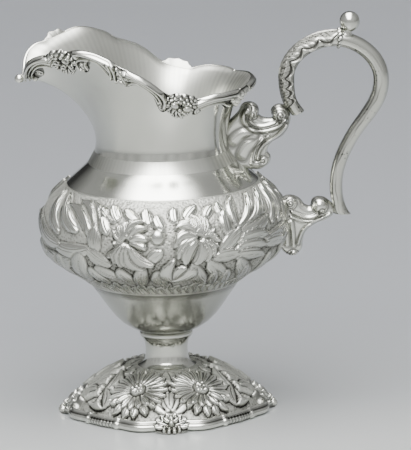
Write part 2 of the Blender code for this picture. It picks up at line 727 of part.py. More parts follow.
# The brackets are solid castings: an outline of two volutes and a leaf, seated on the body.
def bracket(name, volute, points):
    """A casting from an outline about its outer volute, in volute radii, with Bezier rounding."""
    curve = bpy.data.curves.new(name + "_outline", "CURVE")
    curve.dimensions = "2D"
    curve.fill_mode = "BOTH"
    curve.extrude = BRACKET_WIDTH / 2 - BRACKET_ROUND
    curve.bevel_depth = BRACKET_ROUND
    curve.bevel_resolution = 0
    curve.resolution_u = 3
    spline = curve.splines.new("BEZIER")
    spline.bezier_points.add(len(points) - 1)
    for knot, (x, z) in zip(spline.bezier_points, points):
        knot.co = (volute.x + x * VOLUTE_RADIUS, volute.z + z * VOLUTE_RADIUS, 0)
        knot.handle_left_type = "AUTO"
        knot.handle_right_type = "AUTO"
    spline.use_cyclic_u = True
    outline = hide(add(name + "_outline", curve, cutters))
    outline.location = (0, 0, 0)
    mesh = baked(outline)
    bm = bmesh.new()
    bm.from_mesh(mesh)
    bmesh.ops.rotate(bm, verts=bm.verts, matrix=Matrix.Rotation(math.pi / 2, 3, "X"))
    bmesh.ops.remove_doubles(bm, verts=bm.verts, dist=0.00001)
    bmesh.ops.recalc_face_normals(bm, faces=bm.faces)
    solid = bpy.data.meshes.new(name)
    bm.to_mesh(solid)
    bm.free()
    casting = add(name, solid)
    cut(casting, seat)
    return casting


bracket(
    "upper_bracket",
    UPPER_VOLUTE,
    [
        (0.71, -0.24), (0.18, 0.71), (-0.71, 0.41), (-0.59, -0.47), (-1.59, -0.68), (-2.53, -0.18),
        (-2.71, 0.82), (-3.71, 1.06), (-4.41, 0.12), (-5.59, -1.18), (-6.03, -3.53), (-5.0, -5.41),
        (-3.38, -5.76), (-2.0, -5.65), (-1.41, -4.88), (-1.76, -4.12), (-1.35, -3.12), (0.12, -2.12),
        (0.71, -1.06),
    ],
)
bracket(
    "lower_bracket",
    LOWER_VOLUTE,
    [
        (0.71, -0.47), (0.18, 0.47), (-0.65, 0.41), (-0.94, -0.35), (-1.82, -0.29), (-2.59, 0.53),
        (-3.65, 0.76), (-4.53, 0.0), (-4.85, -2.35), (-4.24, -4.65), (-3.41, -5.29), (-2.53, -4.94),
        (-2.29, -3.76), (-1.88, -2.82), (-0.65, -1.88), (0.35, -1.29),
    ],
)
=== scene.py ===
import math

import bpy
import numpy as np
from mathutils import Euler, Matrix, Vector


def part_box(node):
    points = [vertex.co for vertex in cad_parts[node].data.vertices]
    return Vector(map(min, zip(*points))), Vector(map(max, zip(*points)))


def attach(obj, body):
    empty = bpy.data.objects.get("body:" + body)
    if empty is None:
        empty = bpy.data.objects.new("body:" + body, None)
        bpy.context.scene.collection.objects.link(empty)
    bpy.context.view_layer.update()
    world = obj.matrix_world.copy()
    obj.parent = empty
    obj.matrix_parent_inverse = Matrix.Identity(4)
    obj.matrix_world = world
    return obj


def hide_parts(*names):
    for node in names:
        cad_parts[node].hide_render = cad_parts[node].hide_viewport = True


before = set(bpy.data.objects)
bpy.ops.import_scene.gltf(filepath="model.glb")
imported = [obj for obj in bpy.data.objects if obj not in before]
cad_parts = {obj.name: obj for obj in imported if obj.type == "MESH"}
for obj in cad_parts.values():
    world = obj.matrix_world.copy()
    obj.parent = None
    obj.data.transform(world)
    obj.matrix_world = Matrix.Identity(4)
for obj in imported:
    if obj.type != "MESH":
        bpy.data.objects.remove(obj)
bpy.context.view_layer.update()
bpy.ops.object.select_all(action="DESELECT")


# The camera. A long lens, two and a half metres off, looks at the jug's near side from a little
# left of square on and from above. The picture is rolled slightly, so the jug leans to the left.
view_turn = math.radians(-2)
view_height = math.radians(12.6)
view_roll = math.radians(1.3)
view_centre = Vector((-0.00008, 0, 0.06932))
view_distance = 2.501
aim = Euler((math.pi / 2 - view_height, 0, view_turn)).to_matrix()
away = aim @ Vector((0, 0, 1))
bpy.ops.object.camera_add(location=view_centre + away * view_distance)
camera = bpy.context.object
camera.rotation_euler = (aim @ Matrix.Rotation(-view_roll, 3, "Z")).to_euler()
camera.data.lens = 540.8
camera.data.sensor_width = 36
camera.data.clip_end = 50
bpy.context.scene.camera = camera


# The table. Pale grey paper that runs on behind the jug, its colour painted darker with distance as
# painted shade for the light's falloff, with a slight sheen that gives the foot a faint reflection.
def linear(hex_colour):
    """An sRGB hex colour as linear light, with alpha."""
    parts = [int(hex_colour[i:i + 2], 16) / 255 for i in (1, 3, 5)]
    return [c / 12.92 if c <= 0.04045 else ((c + 0.055) / 1.055) ** 2.4 for c in parts] + [1.0]


def add_node(tree, kind, settings=None, links=None):
    """A new shader node. Settings are its own properties or its inputs' values. A link comes from
    an output, or from the first output of a node."""
    made = tree.nodes.new("ShaderNode" + kind)
    for key, value in (settings or {}).items():
        if isinstance(key, str) and key in made.bl_rna.properties:
            setattr(made, key, value)
        else:
            made.inputs[key].default_value = value
    for key, source in (links or {}).items():
        output = source.outputs[0] if isinstance(source, bpy.types.Node) else source
        tree.links.new(output, made.inputs[key])
    return made


def new_material(name):
    """A new material, its node tree and its Principled shader."""
    material = bpy.data.materials.new(name)
    material.use_nodes = True
    return material, material.node_tree, material.node_tree.nodes["Principled BSDF"]


bpy.ops.mesh.primitive_plane_add(size=12)
table = bpy.context.object
table.name = "table_paper"
paper, tree, shader = new_material("pale_grey_paper")
place = add_node(tree, "TexCoord")
apart = add_node(tree, "SeparateXYZ", links={0: place.outputs["Object"]})
# Painted shade: the paper's colour darkens from front to back, where less light reaches it.
painted_falloff = add_node(tree, "MapRange", {"From Min": -0.2, "From Max": 0.8}, {"Value": apart.outputs["Y"]})
tone = add_node(tree, "ValToRGB", links={"Fac": painted_falloff})
tone.color_ramp.elements[0].color = linear("#e2e3e2")
tone.color_ramp.elements[1].color = linear("#c2c5cb")
for share, shade in ((0.14, "#e6e8e7"), (0.21, "#d0d3d5"), (0.33, "#c3c6cb"), (0.55, "#c3c6cc")):
    tone.color_ramp.elements.new(share).color = linear(shade)
tree.links.new(tone.outputs["Color"], shader.inputs["Base Color"])
shader.inputs["Roughness"].default_value = 0.3
table.data.materials.append(paper)


# The light. A room that is bright towards the camera and dim behind the jug, with a large softbox
# over and in front of it. The silver shows the softbox on its shoulder and the room on its sides.
room = bpy.data.worlds.new("studio_room")
room.use_nodes = True
bpy.context.scene.world = room
tree = room.node_tree
look = add_node(tree, "TexCoord").outputs["Generated"]
apart = add_node(tree, "SeparateXYZ", links={0: look})
behind = add_node(tree, "VectorMath", {"operation": "DOT_PRODUCT", 1: (-0.22, 1.0, 0.0)}, {0: look})
to_front = add_node(tree, "MapRange", {"From Min": 1.0, "From Max": -1.0},
                    {"Value": behind.outputs["Value"]})
# Brightness from behind the jug (0) to the camera's side (1).
eye_level = ((0.0, 0.05), (0.06, 0.1), (0.13, 0.42), (0.36, 0.46), (0.6, 0.48), (0.85, 0.72), (1.0, 0.85))
overhead = ((0.0, 0.4), (0.45, 0.55), (0.75, 1.0), (1.0, 1.25))
walls = []
for levels in (eye_level, overhead):
    ramp = add_node(tree, "ValToRGB", links={"Fac": to_front})
    ramp.color_ramp.elements.remove(ramp.color_ramp.elements[1])
    for share, level in levels:
        stop = ramp.color_ramp.elements.new(share)
        stop.color = (level, level * 1.01, level * 1.01, 1)
    ramp.color_ramp.elements.remove(ramp.color_ramp.elements[0])
    walls.append(ramp)
rise = add_node(tree, "MapRange", {"From Min": 0.2, "From Max": 0.75}, {"Value": apart.outputs["Z"]})
whole = add_node(tree, "Mix", {"data_type": "RGBA"},
                 {0: rise, 6: walls[0].outputs["Color"], 7: walls[1].outputs["Color"]})
# Upright dim and bright strips stand for doors and wall edges, which streak the silver's sides.
squeeze = add_node(tree, "Mapping", {"Scale": (5.0, 5.0, 0.5)}, {"Vector": look})
strips = add_node(tree, "TexNoise", {"Scale": 1.0, "Detail": 2.0}, {"Vector": squeeze})
streak = add_node(tree, "MapRange", {"From Min": 0.3, "From Max": 0.7, "To Min": 0.72, "To Max": 1.25},
                  {"Value": strips.outputs["Fac"]})
window = add_node(tree, "MapRange", {"From Min": -1.0, "From Max": 1.0, "To Min": 1.12, "To Max": 0.86},
                  {"Value": apart.outputs["X"]})
steady = add_node(tree, "Mix", {3: 1.0}, {0: rise, 2: streak})
strength = add_node(tree, "Math", {"operation": "MULTIPLY"}, {0: steady, 1: window})
tree.links.new(whole.outputs[2], tree.nodes["Background"].inputs["Color"])
tree.links.new(strength.outputs[0], tree.nodes["Background"].inputs["Strength"])


def aimed(turn, lift, far):
    """A place round the jug by turn from the front, lift above level and distance, and its facing."""
    turn, lift = math.radians(turn), math.radians(lift)
    towards = Vector((math.sin(turn) * math.cos(lift), -math.cos(turn) * math.cos(lift), math.sin(lift)))
    return view_centre + towards * far, towards.to_track_quat("Z", "Y").to_euler()


# The softbox is a white cloth that is brightest in its middle, so its reflection has soft edges.
softbox_size = (1.74, 3.2)
softbox_power = 16.0
lamp_power = 26
spot, facing = aimed(-3, 78, 1.25)
bpy.ops.mesh.primitive_plane_add(size=1, location=spot + Vector((-0.1, 0, 0)), rotation=facing)
softbox = bpy.context.object
softbox.name = "softbox_cloth"
softbox.scale = (*softbox_size, 1)
cloth, tree, shader = new_material("lit_cloth")
place = add_node(tree, "TexCoord")
apart = add_node(tree, "SeparateXYZ", links={0: place.outputs["Object"]})
edges = []
for side, middle in (("X", 0.14), ("Y", 0.28)):
    size = add_node(tree, "Math", {"operation": "ABSOLUTE"}, {0: apart.outputs[side]})
    edges.append(add_node(tree, "MapRange",
                          {"From Min": 0.5, "From Max": middle, "interpolation_type": "SMOOTHSTEP"},
                          {"Value": size}))
glow = add_node(tree, "Math", {"operation": "MULTIPLY"}, {0: edges[0], 1: edges[1]})
fall = add_node(tree, "Math", {"operation": "POWER", 1: 2.5}, {0: glow})
power = add_node(tree, "Math", {"operation": "MULTIPLY", 1: softbox_power}, {0: fall})
lit = add_node(tree, "Emission", links={"Strength": power})
clear = add_node(tree, "BsdfTransparent")
both = add_node(tree, "AddShader", links={0: lit, 1: clear})
tree.links.new(both.outputs[0], tree.nodes["Material Output"].inputs["Surface"])
softbox.data.materials.append(cloth)
softbox.visible_camera = False
softbox.visible_diffuse = False
softbox.visible_shadow = False

# A lamp beside it lights the paper, which the cloth leaves dark, and isn't seen in the silver.
spot, facing = aimed(-20, 66, 1.4)
bpy.ops.object.light_add(type="AREA", location=spot, rotation=facing)
lamp = bpy.context.object
lamp.name = "paper_lamp"
lamp.data.size = 1.6
lamp.data.energy = lamp_power
lamp.visible_camera = False
lamp.visible_glossy = False


# The body. One sheet of sterling silver, raised into a bowl, shoulder and neck and drawn out into
# the lip, then embossed from inside with flowers and leaves and chased on a matted ground.
mm = 0.001
merge_gap = 0.002 * mm
stem_low, stem_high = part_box("stem_spool")
axis_x = (stem_low[0] + stem_high[0]) / 2
sheet_wall = 1.1
lip_wall = 0.75
bowl_base = 30.3
bowl_height = 71.7
bowl_radius = 45.5
neck_radius = 24.3
neck_z = bowl_base + bowl_height


def point_places(piece):
    """The places of a mesh's points, in metres."""
    places = np.empty(len(piece.data.vertices) * 3)
    piece.data.vertices.foreach_get("co", places)
    return places.reshape(-1, 3)


def add_mark(piece, mark, values):
    """Keeps a number for each of a mesh's points as an attribute for the material."""
    layer = piece.data.attributes.new(mark, "FLOAT", "POINT")
    layer.data.foreach_set("value", np.ascontiguousarray(values, dtype=np.float32))


def sheet(name, points, **marks):
    """A grid of rows and columns laid onto points in mm from the jug's axis, its seams merged.
    Each mark has a number for every point."""
    a, b, c, d = points[:-1, :-1], points[:-1, 1:], points[1:, 1:], points[1:, :-1]
    if np.sum(a * np.cross(b, c)) + np.sum(a * np.cross(c, d)) < 0:
        points = points[:, ::-1]
        marks = {mark: values[:, ::-1] for mark, values in marks.items()}
    rows, columns = points.shape[0] - 1, points.shape[1] - 1
    bpy.ops.object.select_all(action="DESELECT")
    bpy.ops.mesh.primitive_grid_add(x_subdivisions=columns, y_subdivisions=rows, size=2)
    piece = bpy.context.object
    piece.name = piece.data.name = name
    flat = (point_places(piece) + 1) / 2
    column = np.rint(flat[:, 0] * columns).astype(int)
    row = np.rint(flat[:, 1] * rows).astype(int)
    laid = points[row, column] * mm + (axis_x, 0, 0)
    piece.data.vertices.foreach_set("co", laid.ravel())
    for mark, values in marks.items():
        add_mark(piece, mark, values[row, column])
    bpy.ops.object.mode_set(mode="EDIT")
    bpy.ops.mesh.select_all(action="SELECT")
    bpy.ops.mesh.remove_doubles(threshold=merge_gap)
    bpy.ops.object.mode_set(mode="OBJECT")
    bpy.ops.object.shade_smooth()
    return piece


def smooth_line(knots, count):
    """Points of a natural cubic spline through the knots, with their distance along it."""
    knots = np.array(knots, float)
    steps = np.hypot(*np.diff(knots, axis=0).T)
    along = np.concatenate([[0], np.cumsum(steps)])
    last = len(knots) - 1
    left = np.eye(last + 1)
    right = np.zeros((last + 1, knots.shape[1]))
    for i in range(1, last):
        left[i, i - 1:i + 2] = steps[i - 1], 2 * (steps[i - 1] + steps[i]), steps[i]
        right[i] = 6 * ((knots[i + 1] - knots[i]) / steps[i] - (knots[i] - knots[i - 1]) / steps[i - 1])
    bend = np.linalg.solve(left, right)
    where = np.linspace(0, along[-1], count) if np.isscalar(count) else np.asarray(count)
    k = np.clip(np.searchsorted(along, where, side="right") - 1, 0, last - 1)
    u, h = (where - along[k])[:, None], steps[k][:, None]
    slope = (knots[k + 1] - knots[k]) / h - h * (2 * bend[k] + bend[k + 1]) / 6
    return knots[k] + slope * u + bend[k] / 2 * u**2 + (bend[k + 1] - bend[k]) / (6 * h) * u**3, where


def eased(t):
    """A soft step from 0 to 1."""
    t = np.clip(t, 0, 1)
    return t * t * (3 - 2 * t)


def bell(off, width):
    """A soft bump: 1 at 0, falling off over a width on both sides."""
    return np.exp(-((off / width) ** 2))


def round_axis(radius, z, turn):
    """Points at some radii and heights, turned about the jug's axis."""
    return np.stack(np.broadcast_arrays(radius * np.cos(turn), radius * np.sin(turn), z), -1)


def rim_radius(turn):
    """Radius of the wall's edge. Turns run from the tip of the lip (0) to the handle (pi)."""
    back = eased((turn - math.radians(75)) / math.radians(105))
    return 31.0 + 1.4 * back + 19.6 * np.exp(-((turn / math.radians(32)) ** 1.6))


def rim_height(turn):
    """Height of the wall's plain edge above the neck's waist."""
    crest = 1 - eased((turn - math.radians(33)) / math.radians(80))
    tip = np.exp(-((turn / math.radians(12.5)) ** 1.5))
    return 19.6 + 17.5 * crest - 12.5 * tip + 2.0 * eased((turn - math.radians(130)) / math.radians(50))


def lip_point(turn, share, side=-1.0):
    """A point of the flared neck in mm: share 0 at its waist, 1 at the rim. Side -1 is near."""
    fold = math.pi - np.abs(math.pi - turn)
    flare = math.radians(48) + math.radians(38) * bell(fold, math.radians(20))
    bend = share * flare
    ease = 0.88 + 0.12 * bell(share, 0.2)
    out = (np.clip(1 - np.cos(bend), 0, None) / (1 - np.cos(flare))) ** ease
    radius = neck_radius + (rim_radius(fold) - neck_radius) * out
    up = np.sin(bend) / np.sin(flare)
    return np.stack(np.broadcast_arrays(
        -radius * np.cos(turn), side * radius * np.sin(turn), neck_z + rim_height(fold) * up), -1)


# The wall's edge waves: it stands higher behind the border's arched lengths than behind its flowers.
edge_waves = [
    (0, 0.2), (5, 0.9), (9, 2.1), (13, 2.9), (17, 2.6), (20.5, 1.0), (25, 1.0), (30, 1.6), (33, 2.3),
    (36, 2.9), (40, 2.9), (45, 2.7), (48.5, 2.7), (50.5, 1.7), (53, 2.0), (56, 2.8), (61, 3.9),
    (65, 3.6), (69, 1.8), (72, 1.2), (77, 1.5), (82, 1.4), (85, 2.8), (88, 3.8), (94, 4.0), (99, 3.3),
    (102, 2.2), (105, 2.4), (112, 2.6), (121, 2.4),
]  # mm along the rim from the tip, mm above the plain edge
rim_turns = np.radians(np.linspace(0, 180, 1801))
rim_line = lip_point(rim_turns, 1.0)
rim_run = np.concatenate([[0], np.cumsum(np.linalg.norm(np.diff(rim_line, axis=0), axis=1))])


def edge_rise(turn):
    """How far the wall's edge stands above the plain edge, in mm."""
    fold = math.pi - np.abs(math.pi - turn)
    waves = np.array(edge_waves).T
    run = np.interp(fold, rim_turns, rim_run)
    near = [np.interp(run + step, *waves) for step in (-1.2, -0.6, 0, 0.6, 1.2)]
    return np.mean(near, axis=0)


def share_mm(turn):
    """Length of the neck's wall for one share, at the rim, in mm."""
    return np.linalg.norm(lip_point(turn, 1.02) - lip_point(turn, 0.98), axis=-1) / 0.04


def wall_frame(turn, share, side):
    """Points of the neck's wall and the directions out of it."""
    spot = lip_point(turn, share, side)
    along = lip_point(turn + 0.01, share, side) - lip_point(turn - 0.01, share, side)
    rise = lip_point(turn, share + 0.02, side) - lip_point(turn, share - 0.02, side)
    out = np.cross(along, rise)
    out = out / np.linalg.norm(out, axis=-1, keepdims=True)
    return spot, -out * np.sign(out[..., 2:])


# Leaves and petals are raised one after another, later ones over earlier ones.
def emboss(relief, x, y, foot, tip, width, bow=0.0, rise=0.8, lift=0.0, fullest=0.5, vein=0.0, chase=0.22,
           blunt=0.7, tilt=0.0, grain=None, outline=None, ink=0.5):
    """Raises one domed blade from foot to tip in a relief, in mm, and chases a line round it. Fullest is
    where it is widest, a lower blunt gives it rounder ends and a tilt lifts its left edge. A grain takes
    the mm across it, and an outline the dark line round it, as strong as its ink."""
    run = math.hypot(tip[0] - foot[0], tip[1] - foot[1])
    way = (tip[0] - foot[0]) / run, (tip[1] - foot[1]) / run
    t = ((x - foot[0]) * way[0] + (y - foot[1]) * way[1]) / run
    off = (y - foot[1]) * way[0] - (x - foot[0]) * way[1]
    reach = np.clip(t, 0, 1)
    off = off - bow * run * 4 * t * (1 - t)
    half = width / 2 * np.sin(np.pi * reach ** (math.log(0.5) / math.log(fullest))) ** blunt + 0.01
    beyond = np.maximum(np.maximum(-t, t - 1), 0) * run
    edge = np.where(beyond > 0, -np.hypot(off, beyond), half - np.abs(off))
    inside = eased(0.5 + edge / 0.5)
    across = np.clip(off / half, -1, 1)
    blade = lift + rise * (0.15 + 0.85 * (1 - across**2) + tilt * across) * (0.72 + 0.28 * reach)
    blade = blade - vein * bell(off, 0.28) * eased(reach * 5) * eased((1 - reach) * 4)
    relief = relief - chase * bell(np.minimum(edge, 0), 0.4) * (1 - inside)
    if grain is not None:
        np.copyto(grain, off + 0 * inside, where=inside > 0.5)
    if outline is not None:
        line = ink * bell(edge + 0.12, 0.34) * (beyond < 0.6)
        np.maximum(outline * (1 - eased(0.5 + edge / 0.4)), line, out=outline)
    return relief * (1 - inside) + blade * inside


def blurred(values, times, wrap=True):
    """Values averaged with their neighbours in the grid, some number of times."""
    for _ in range(times):
        wide = np.pad(values, ((1, 1), (0, 0)), mode="edge")
        values = (wide[:-2] + 2 * wide[1:-1] + wide[2:]) / 4
        wide = np.pad(values, ((0, 0), (1, 1)), mode="wrap" if wrap else "edge")
        values = (wide[:, :-2] + 2 * wide[:, 1:-1] + wide[:, 2:]) / 4
    return values


bowl_knots = [
    (0.213, 0.0), (0.33, 0.04), (0.424, 0.096), (0.494, 0.158), (0.55, 0.209), (0.632, 0.275),
    (0.722, 0.322), (0.844, 0.371), (0.938, 0.424), (0.987, 0.484), (1.0, 0.554),
]  # share of the bowl's radius, share of its height
shoulder_knots = [
    (0.975, 0.623), (0.858, 0.697), (0.695, 0.745), (0.505, 0.794), (0.317, 0.843), (0.134, 0.897),
    (0.033, 0.951), (0.0, 1.0),
]  # share of the step from neck to bowl radius, share of the height
knots = [(r * bowl_radius, bowl_base + z * bowl_height) for r, z in bowl_knots]
knots += [
    (neck_radius + r * (bowl_radius - neck_radius), bowl_base + z * bowl_height) for r, z in shoulder_knots
]
body_line, body_run = smooth_line(knots, 900)


def height_of(z):
    """Distance along the body's profile up to a height, in mm."""
    return np.interp(z, body_line[:, 1], body_run)


def girth_of(z):
    """The body's radius at a height, in mm."""
    return np.interp(z, body_line[:, 1], body_line[:, 0])


band_foot_z = 49.5
band_top_z = 87.6
band_low = height_of(band_foot_z)
band_high = height_of(band_top_z)
stations = np.concatenate([
    np.linspace(0, band_low, 8)[:-1],
    np.linspace(band_low, band_high, 110),
    band_high + (body_run[-1] - band_high) * np.linspace(0, 1, 22)[1:] ** 1.4,
])
profile, climb = smooth_line(knots, stations)
spin = np.linspace(0, 2 * math.pi, 553)
lip_turn = np.abs(math.pi - spin)
lip_side = np.where(spin > math.pi, -1.0, 1.0)
front = np.degrees(np.arctan2(np.cos(spin), np.abs(np.sin(spin))))  # degrees from square on
girth = profile[:, :1]
up = climb[:, None]
fade = eased((up - band_low) / 2.0) * eased((band_high - up) / 2.2)
relief = -0.1 * fade
grain = 0 * (up + spin)
outline = 0 * (up + spin)


def band_leaf(relief, foot, tip, width, bow=0.0, **how):
    """Raises a leaf on the band, its foot and tip in degrees from the front and mm up."""
    middle = (foot[0] + tip[0]) / 2
    x = girth * np.radians(front - middle)
    ends = [(girth_of(z) * math.radians(a - middle), height_of(z)) for a, z in (foot, tip)]
    return emboss(relief, x, up, *ends, width, bow, grain=grain, outline=outline, **how)


# Grass along the lower edge, and long strap leaves towards the lip and towards the handle.
for step in range(72):
    at = -97 + 2.7 * step
    lean = 3.6 if step % 2 else -4.2
    tip = at + lean, 54.2 + step % 3
    relief = band_leaf(relief, (at, 49.8), tip, 2.0, 0.1, rise=0.45, chase=0.3, ink=0.35)
for foot, tip, width, bow in (
    ((-72, 69), (-101, 84.5), 5.6, 0.14), ((-88, 64), (-113, 80), 5.6, 0.12),
    ((-59, 73), (-76, 86), 6.0, 0.12), ((-46, 75), (-67, 86), 6.6, 0.12),
    ((-38, 73.5), (-60, 83), 5.4, -0.16), ((-34, 75), (-53, 84.8), 6.2, -0.18),
    ((-33, 77), (-44, 85.4), 3.8, -0.12), ((-38, 69.8), (-65, 69.4), 6.4, 0.10),
    ((-58, 69), (-85, 76.5), 6.2, 0.10), ((-50, 63.6), (-77, 64.3), 6.6, 0.08),
    ((-70, 61), (-96, 68), 6.6, 0.1), ((35, 76.5), (41.4, 86.4), 4.6, 0.1),
    ((35, 75.5), (53, 86), 5.0, -0.14), ((35, 74.4), (64, 86.2), 6.8, -0.16),
    ((34, 72.8), (58, 78), 6.4, -0.06), ((34, 71), (56, 71.2), 5.6, 0.05),
    ((33, 68.4), (54, 67.6), 5.0, 0.05), ((32, 65.8), (53, 64.0), 5.4, 0.04),
    ((59, 74.4), (74, 86.4), 5.2, -0.08), ((66, 74), (86, 86), 5.2, -0.1),
    ((52, 70), (76, 73.6), 5.2, -0.08), ((52, 67.8), (77, 64.9), 5.2, 0.06),
    ((72, 73), (97, 84.4), 5.6, -0.1), ((68, 63), (93, 70), 6.0, 0.08),
):
    tilt = math.copysign(0.3, bow)
    relief = band_leaf(relief, foot, tip, width, bow, rise=1.25, vein=0.3, fullest=0.45, blunt=0.6, tilt=tilt)

# Small leaves behind the flowers, and rounded ones along the foot of the band.
for foot, tip, width in (
    ((-25, 80), (-36.5, 84.0), 5.4), ((-24.5, 80.4), (-30, 84.8), 5.0),
    ((-14.5, 80.6), (-22.5, 84.0), 4.0), ((-8.6, 79), (-11.4, 84.2), 4.6),
    ((-1.6, 77), (-6.0, 82.4), 4.4), ((4, 79.6), (3.8, 84.4), 4.2), ((8.2, 80.4), (16.4, 84.6), 4.2),
    ((19, 80.6), (25.5, 84.2), 4.0), ((31.2, 79.6), (28.6, 85.0), 4.2), ((30, 73.6), (30.2, 82), 5.2),
    ((-34.6, 68), (-36, 78), 6.2), ((-28.6, 75.6), (-33.4, 81), 4.8), ((-9.6, 65), (-2.4, 70.4), 4.6),
    ((24.6, 67), (37, 75.2), 6.0), ((-27.4, 64), (-40, 69.2), 5.8), ((-51, 55), (-43.6, 67.8), 8.8),
    ((-24, 58.8), (-37, 63), 6.0), ((-16.4, 55.8), (-24.6, 63), 6.2),
    ((-14.8, 55), (-11.6, 64.6), 5.6), ((-35.4, 55.4), (-40.4, 62.6), 5.6),
    ((-65, 56), (-59.6, 65.6), 7.0), ((-79, 56), (-75.8, 65.6), 6.8), ((-91, 55), (-92, 65.6), 6.8),
    ((-1.8, 55), (-5.2, 62.6), 5.8), ((32.4, 58), (19, 66), 6.2), ((21.5, 66), (35.6, 66.6), 5.6),
    ((22, 55.4), (11.4, 65), 6.4), ((29, 54), (23.6, 61.2), 4.2), ((38.6, 53.6), (30.4, 61), 4.8),
    ((55, 55.4), (35.4, 65), 6.2), ((50.6, 54.6), (41.6, 61.6), 5.2), ((67, 55), (57.6, 64.6), 6.6),
    ((81, 56), (72.6, 64.6), 6.6), ((91, 55), (88, 65.6), 6.8),
):
    rise = 1.15 if foot[1] > 72 else 0.8
    relief = band_leaf(relief, foot, tip, width, 0.05, rise=rise, vein=0.3, fullest=0.52, blunt=0.5, tilt=0.2)


def bloom(relief, centre, cup, petals):
    """Raises a whorled flower on the band. A petal is its tip in mm right and up of the centre, its
    width and its bow."""
    x = girth * np.radians(front - centre[0])
    y = up - height_of(centre[1])
    for right, above, width, bow in petals:
        long = math.hypot(right, above)
        foot = right * 0.5 * cup / long, above * 0.5 * cup / long
        tilt = math.copysign(0.4, bow)
        relief = emboss(relief, x, y, foot, (right, above), width, bow, rise=1.3, lift=0.4, fullest=0.6,
                        chase=0.3, blunt=0.45, tilt=tilt, grain=grain, outline=outline, ink=0.75)
    away = np.hypot(x, y)
    hollow = 0.75 + 0.3 * (away / cup) ** 2 + 0.12 * np.cos(4.2 * x) * np.cos(4.2 * y)
    return np.where(away < cup, np.minimum(relief, hollow), relief)


relief = bloom(relief, (-19.2, 73.4), 1.7, (
    (-5.4, -0.3, 2.4, 0.1), (-5.0, -2.6, 2.4, 0.1), (-7.6, -5.6, 3.6, 0.12), (-4.6, -8.4, 3.4, -0.15),
    (-1.9, -9.6, 3.6, -0.2), (2.9, -10.2, 4.2, -0.25), (6.7, -10.0, 4.2, -0.25), (9.9, -8.6, 3.8, -0.15),
    (-4.8, 4.0, 2.6, 0.16), (-2.9, 6.1, 2.8, 0.16), (-0.8, 7.4, 2.8, 0.16), (1.8, 7.9, 3.0, 0.2),
    (5.8, 7.4, 3.0, 0.3), (7.4, 5.0, 3.4, 0.2), (7.4, -2.6, 3.4, 0.1), (8.0, 0.8, 3.4, 0.12),
))
relief = bloom(relief, (15.0, 74.3), 1.3, (
    (7.1, -4.0, 2.4, 0.1), (8.0, -1.9, 2.4, 0.1), (7.0, 0.3, 2.2, 0.05), (6.1, 2.7, 2.2, -0.05),
    (5.0, -7.2, 3.6, 0.2), (2.4, -8.8, 4.2, 0.15), (-1.9, -9.6, 4.8, 0.15), (3.7, 6.1, 2.6, -0.2),
    (2.4, 7.7, 2.6, -0.2), (0.3, 8.5, 2.6, -0.2), (-2.1, 8.3, 2.8, -0.2), (-5.0, 7.2, 2.8, -0.22),
    (-7.7, 5.6, 2.8, -0.26), (-9.0, 3.8, 2.8, -0.28), (-8.4, 1.2, 3.2, -0.1), (-9.4, -3.0, 5.0, -0.3),
    (-8.2, -7.0, 5.0, -0.15), (-5.6, -9.4, 5.0, -0.12),
))

# A folded bud under the right flower, and a round bud between the two.
for foot, tip, width, bow, rise, lift, blunt, chase in (
    ((4.6, 57.4), (3.0, 67.2), 5.4, 0.28, 1.2, 0.3, 0.5, 0.3),
    ((2.4, 58.4), (13.4, 62.8), 6.6, -0.08, 1.2, 0.3, 0.45, 0.3),
    ((2.6, 59.4), (8.8, 64.2), 3.6, 0.12, 0.9, 0.5, 0.5, 0.5),
):
    relief = band_leaf(relief, foot, tip, width, bow, rise=rise, lift=lift, blunt=blunt, chase=chase)
bud_radius = 2.6
from_bud = np.hypot(girth * np.radians(front + 4.6), up - height_of(75.2))
relief = relief - 0.35 * bell(from_bud - bud_radius - 0.3, 0.4)
bud = 0.4 + 1.2 * np.sqrt(np.clip(1 - (from_bud / bud_radius) ** 2, 0, 1))
relief = np.where(from_bud < bud_radius, bud, relief)

relief = relief * fade
relief = relief - 0.3 * bell(up - band_low, 0.55)
oxide = np.clip((blurred(relief, 3) - relief) / 0.5 - 0.08, 0, 0.34) + 0.4 * outline * fade
# Painted shade: a broad darkening round each raised leaf and flower, where shade falls about it.
oxide = oxide + np.clip((blurred(relief, 16) - relief) / 1.2, 0, 0.2) * eased((up - band_low - 3) / 5)
oxide = oxide + 0.5 * bell(up - band_low, 0.5)
matted = 0.15 + 0.85 * np.clip((0.15 - relief) / 0.15, 0, 1)
matted = matted * eased((up - band_low) / 2.0) * eased((band_high - 0.6 - up) / 1.2)
# Matted ground is darker, and the lower band, which faces down, is painted darker as painted shade.
oxide = oxide + 0.25 * matted + 0.3 * eased((height_of(70) - up) / 8)

slope = np.gradient(profile, axis=0)
slope = slope / np.hypot(slope[:, 0], slope[:, 1])[:, None]
outer_r = girth + relief * slope[:, 1][:, None]
outer_z = profile[:, 1][:, None] - relief * slope[:, 0][:, None]
turned = round_axis(outer_r, outer_z, spin)

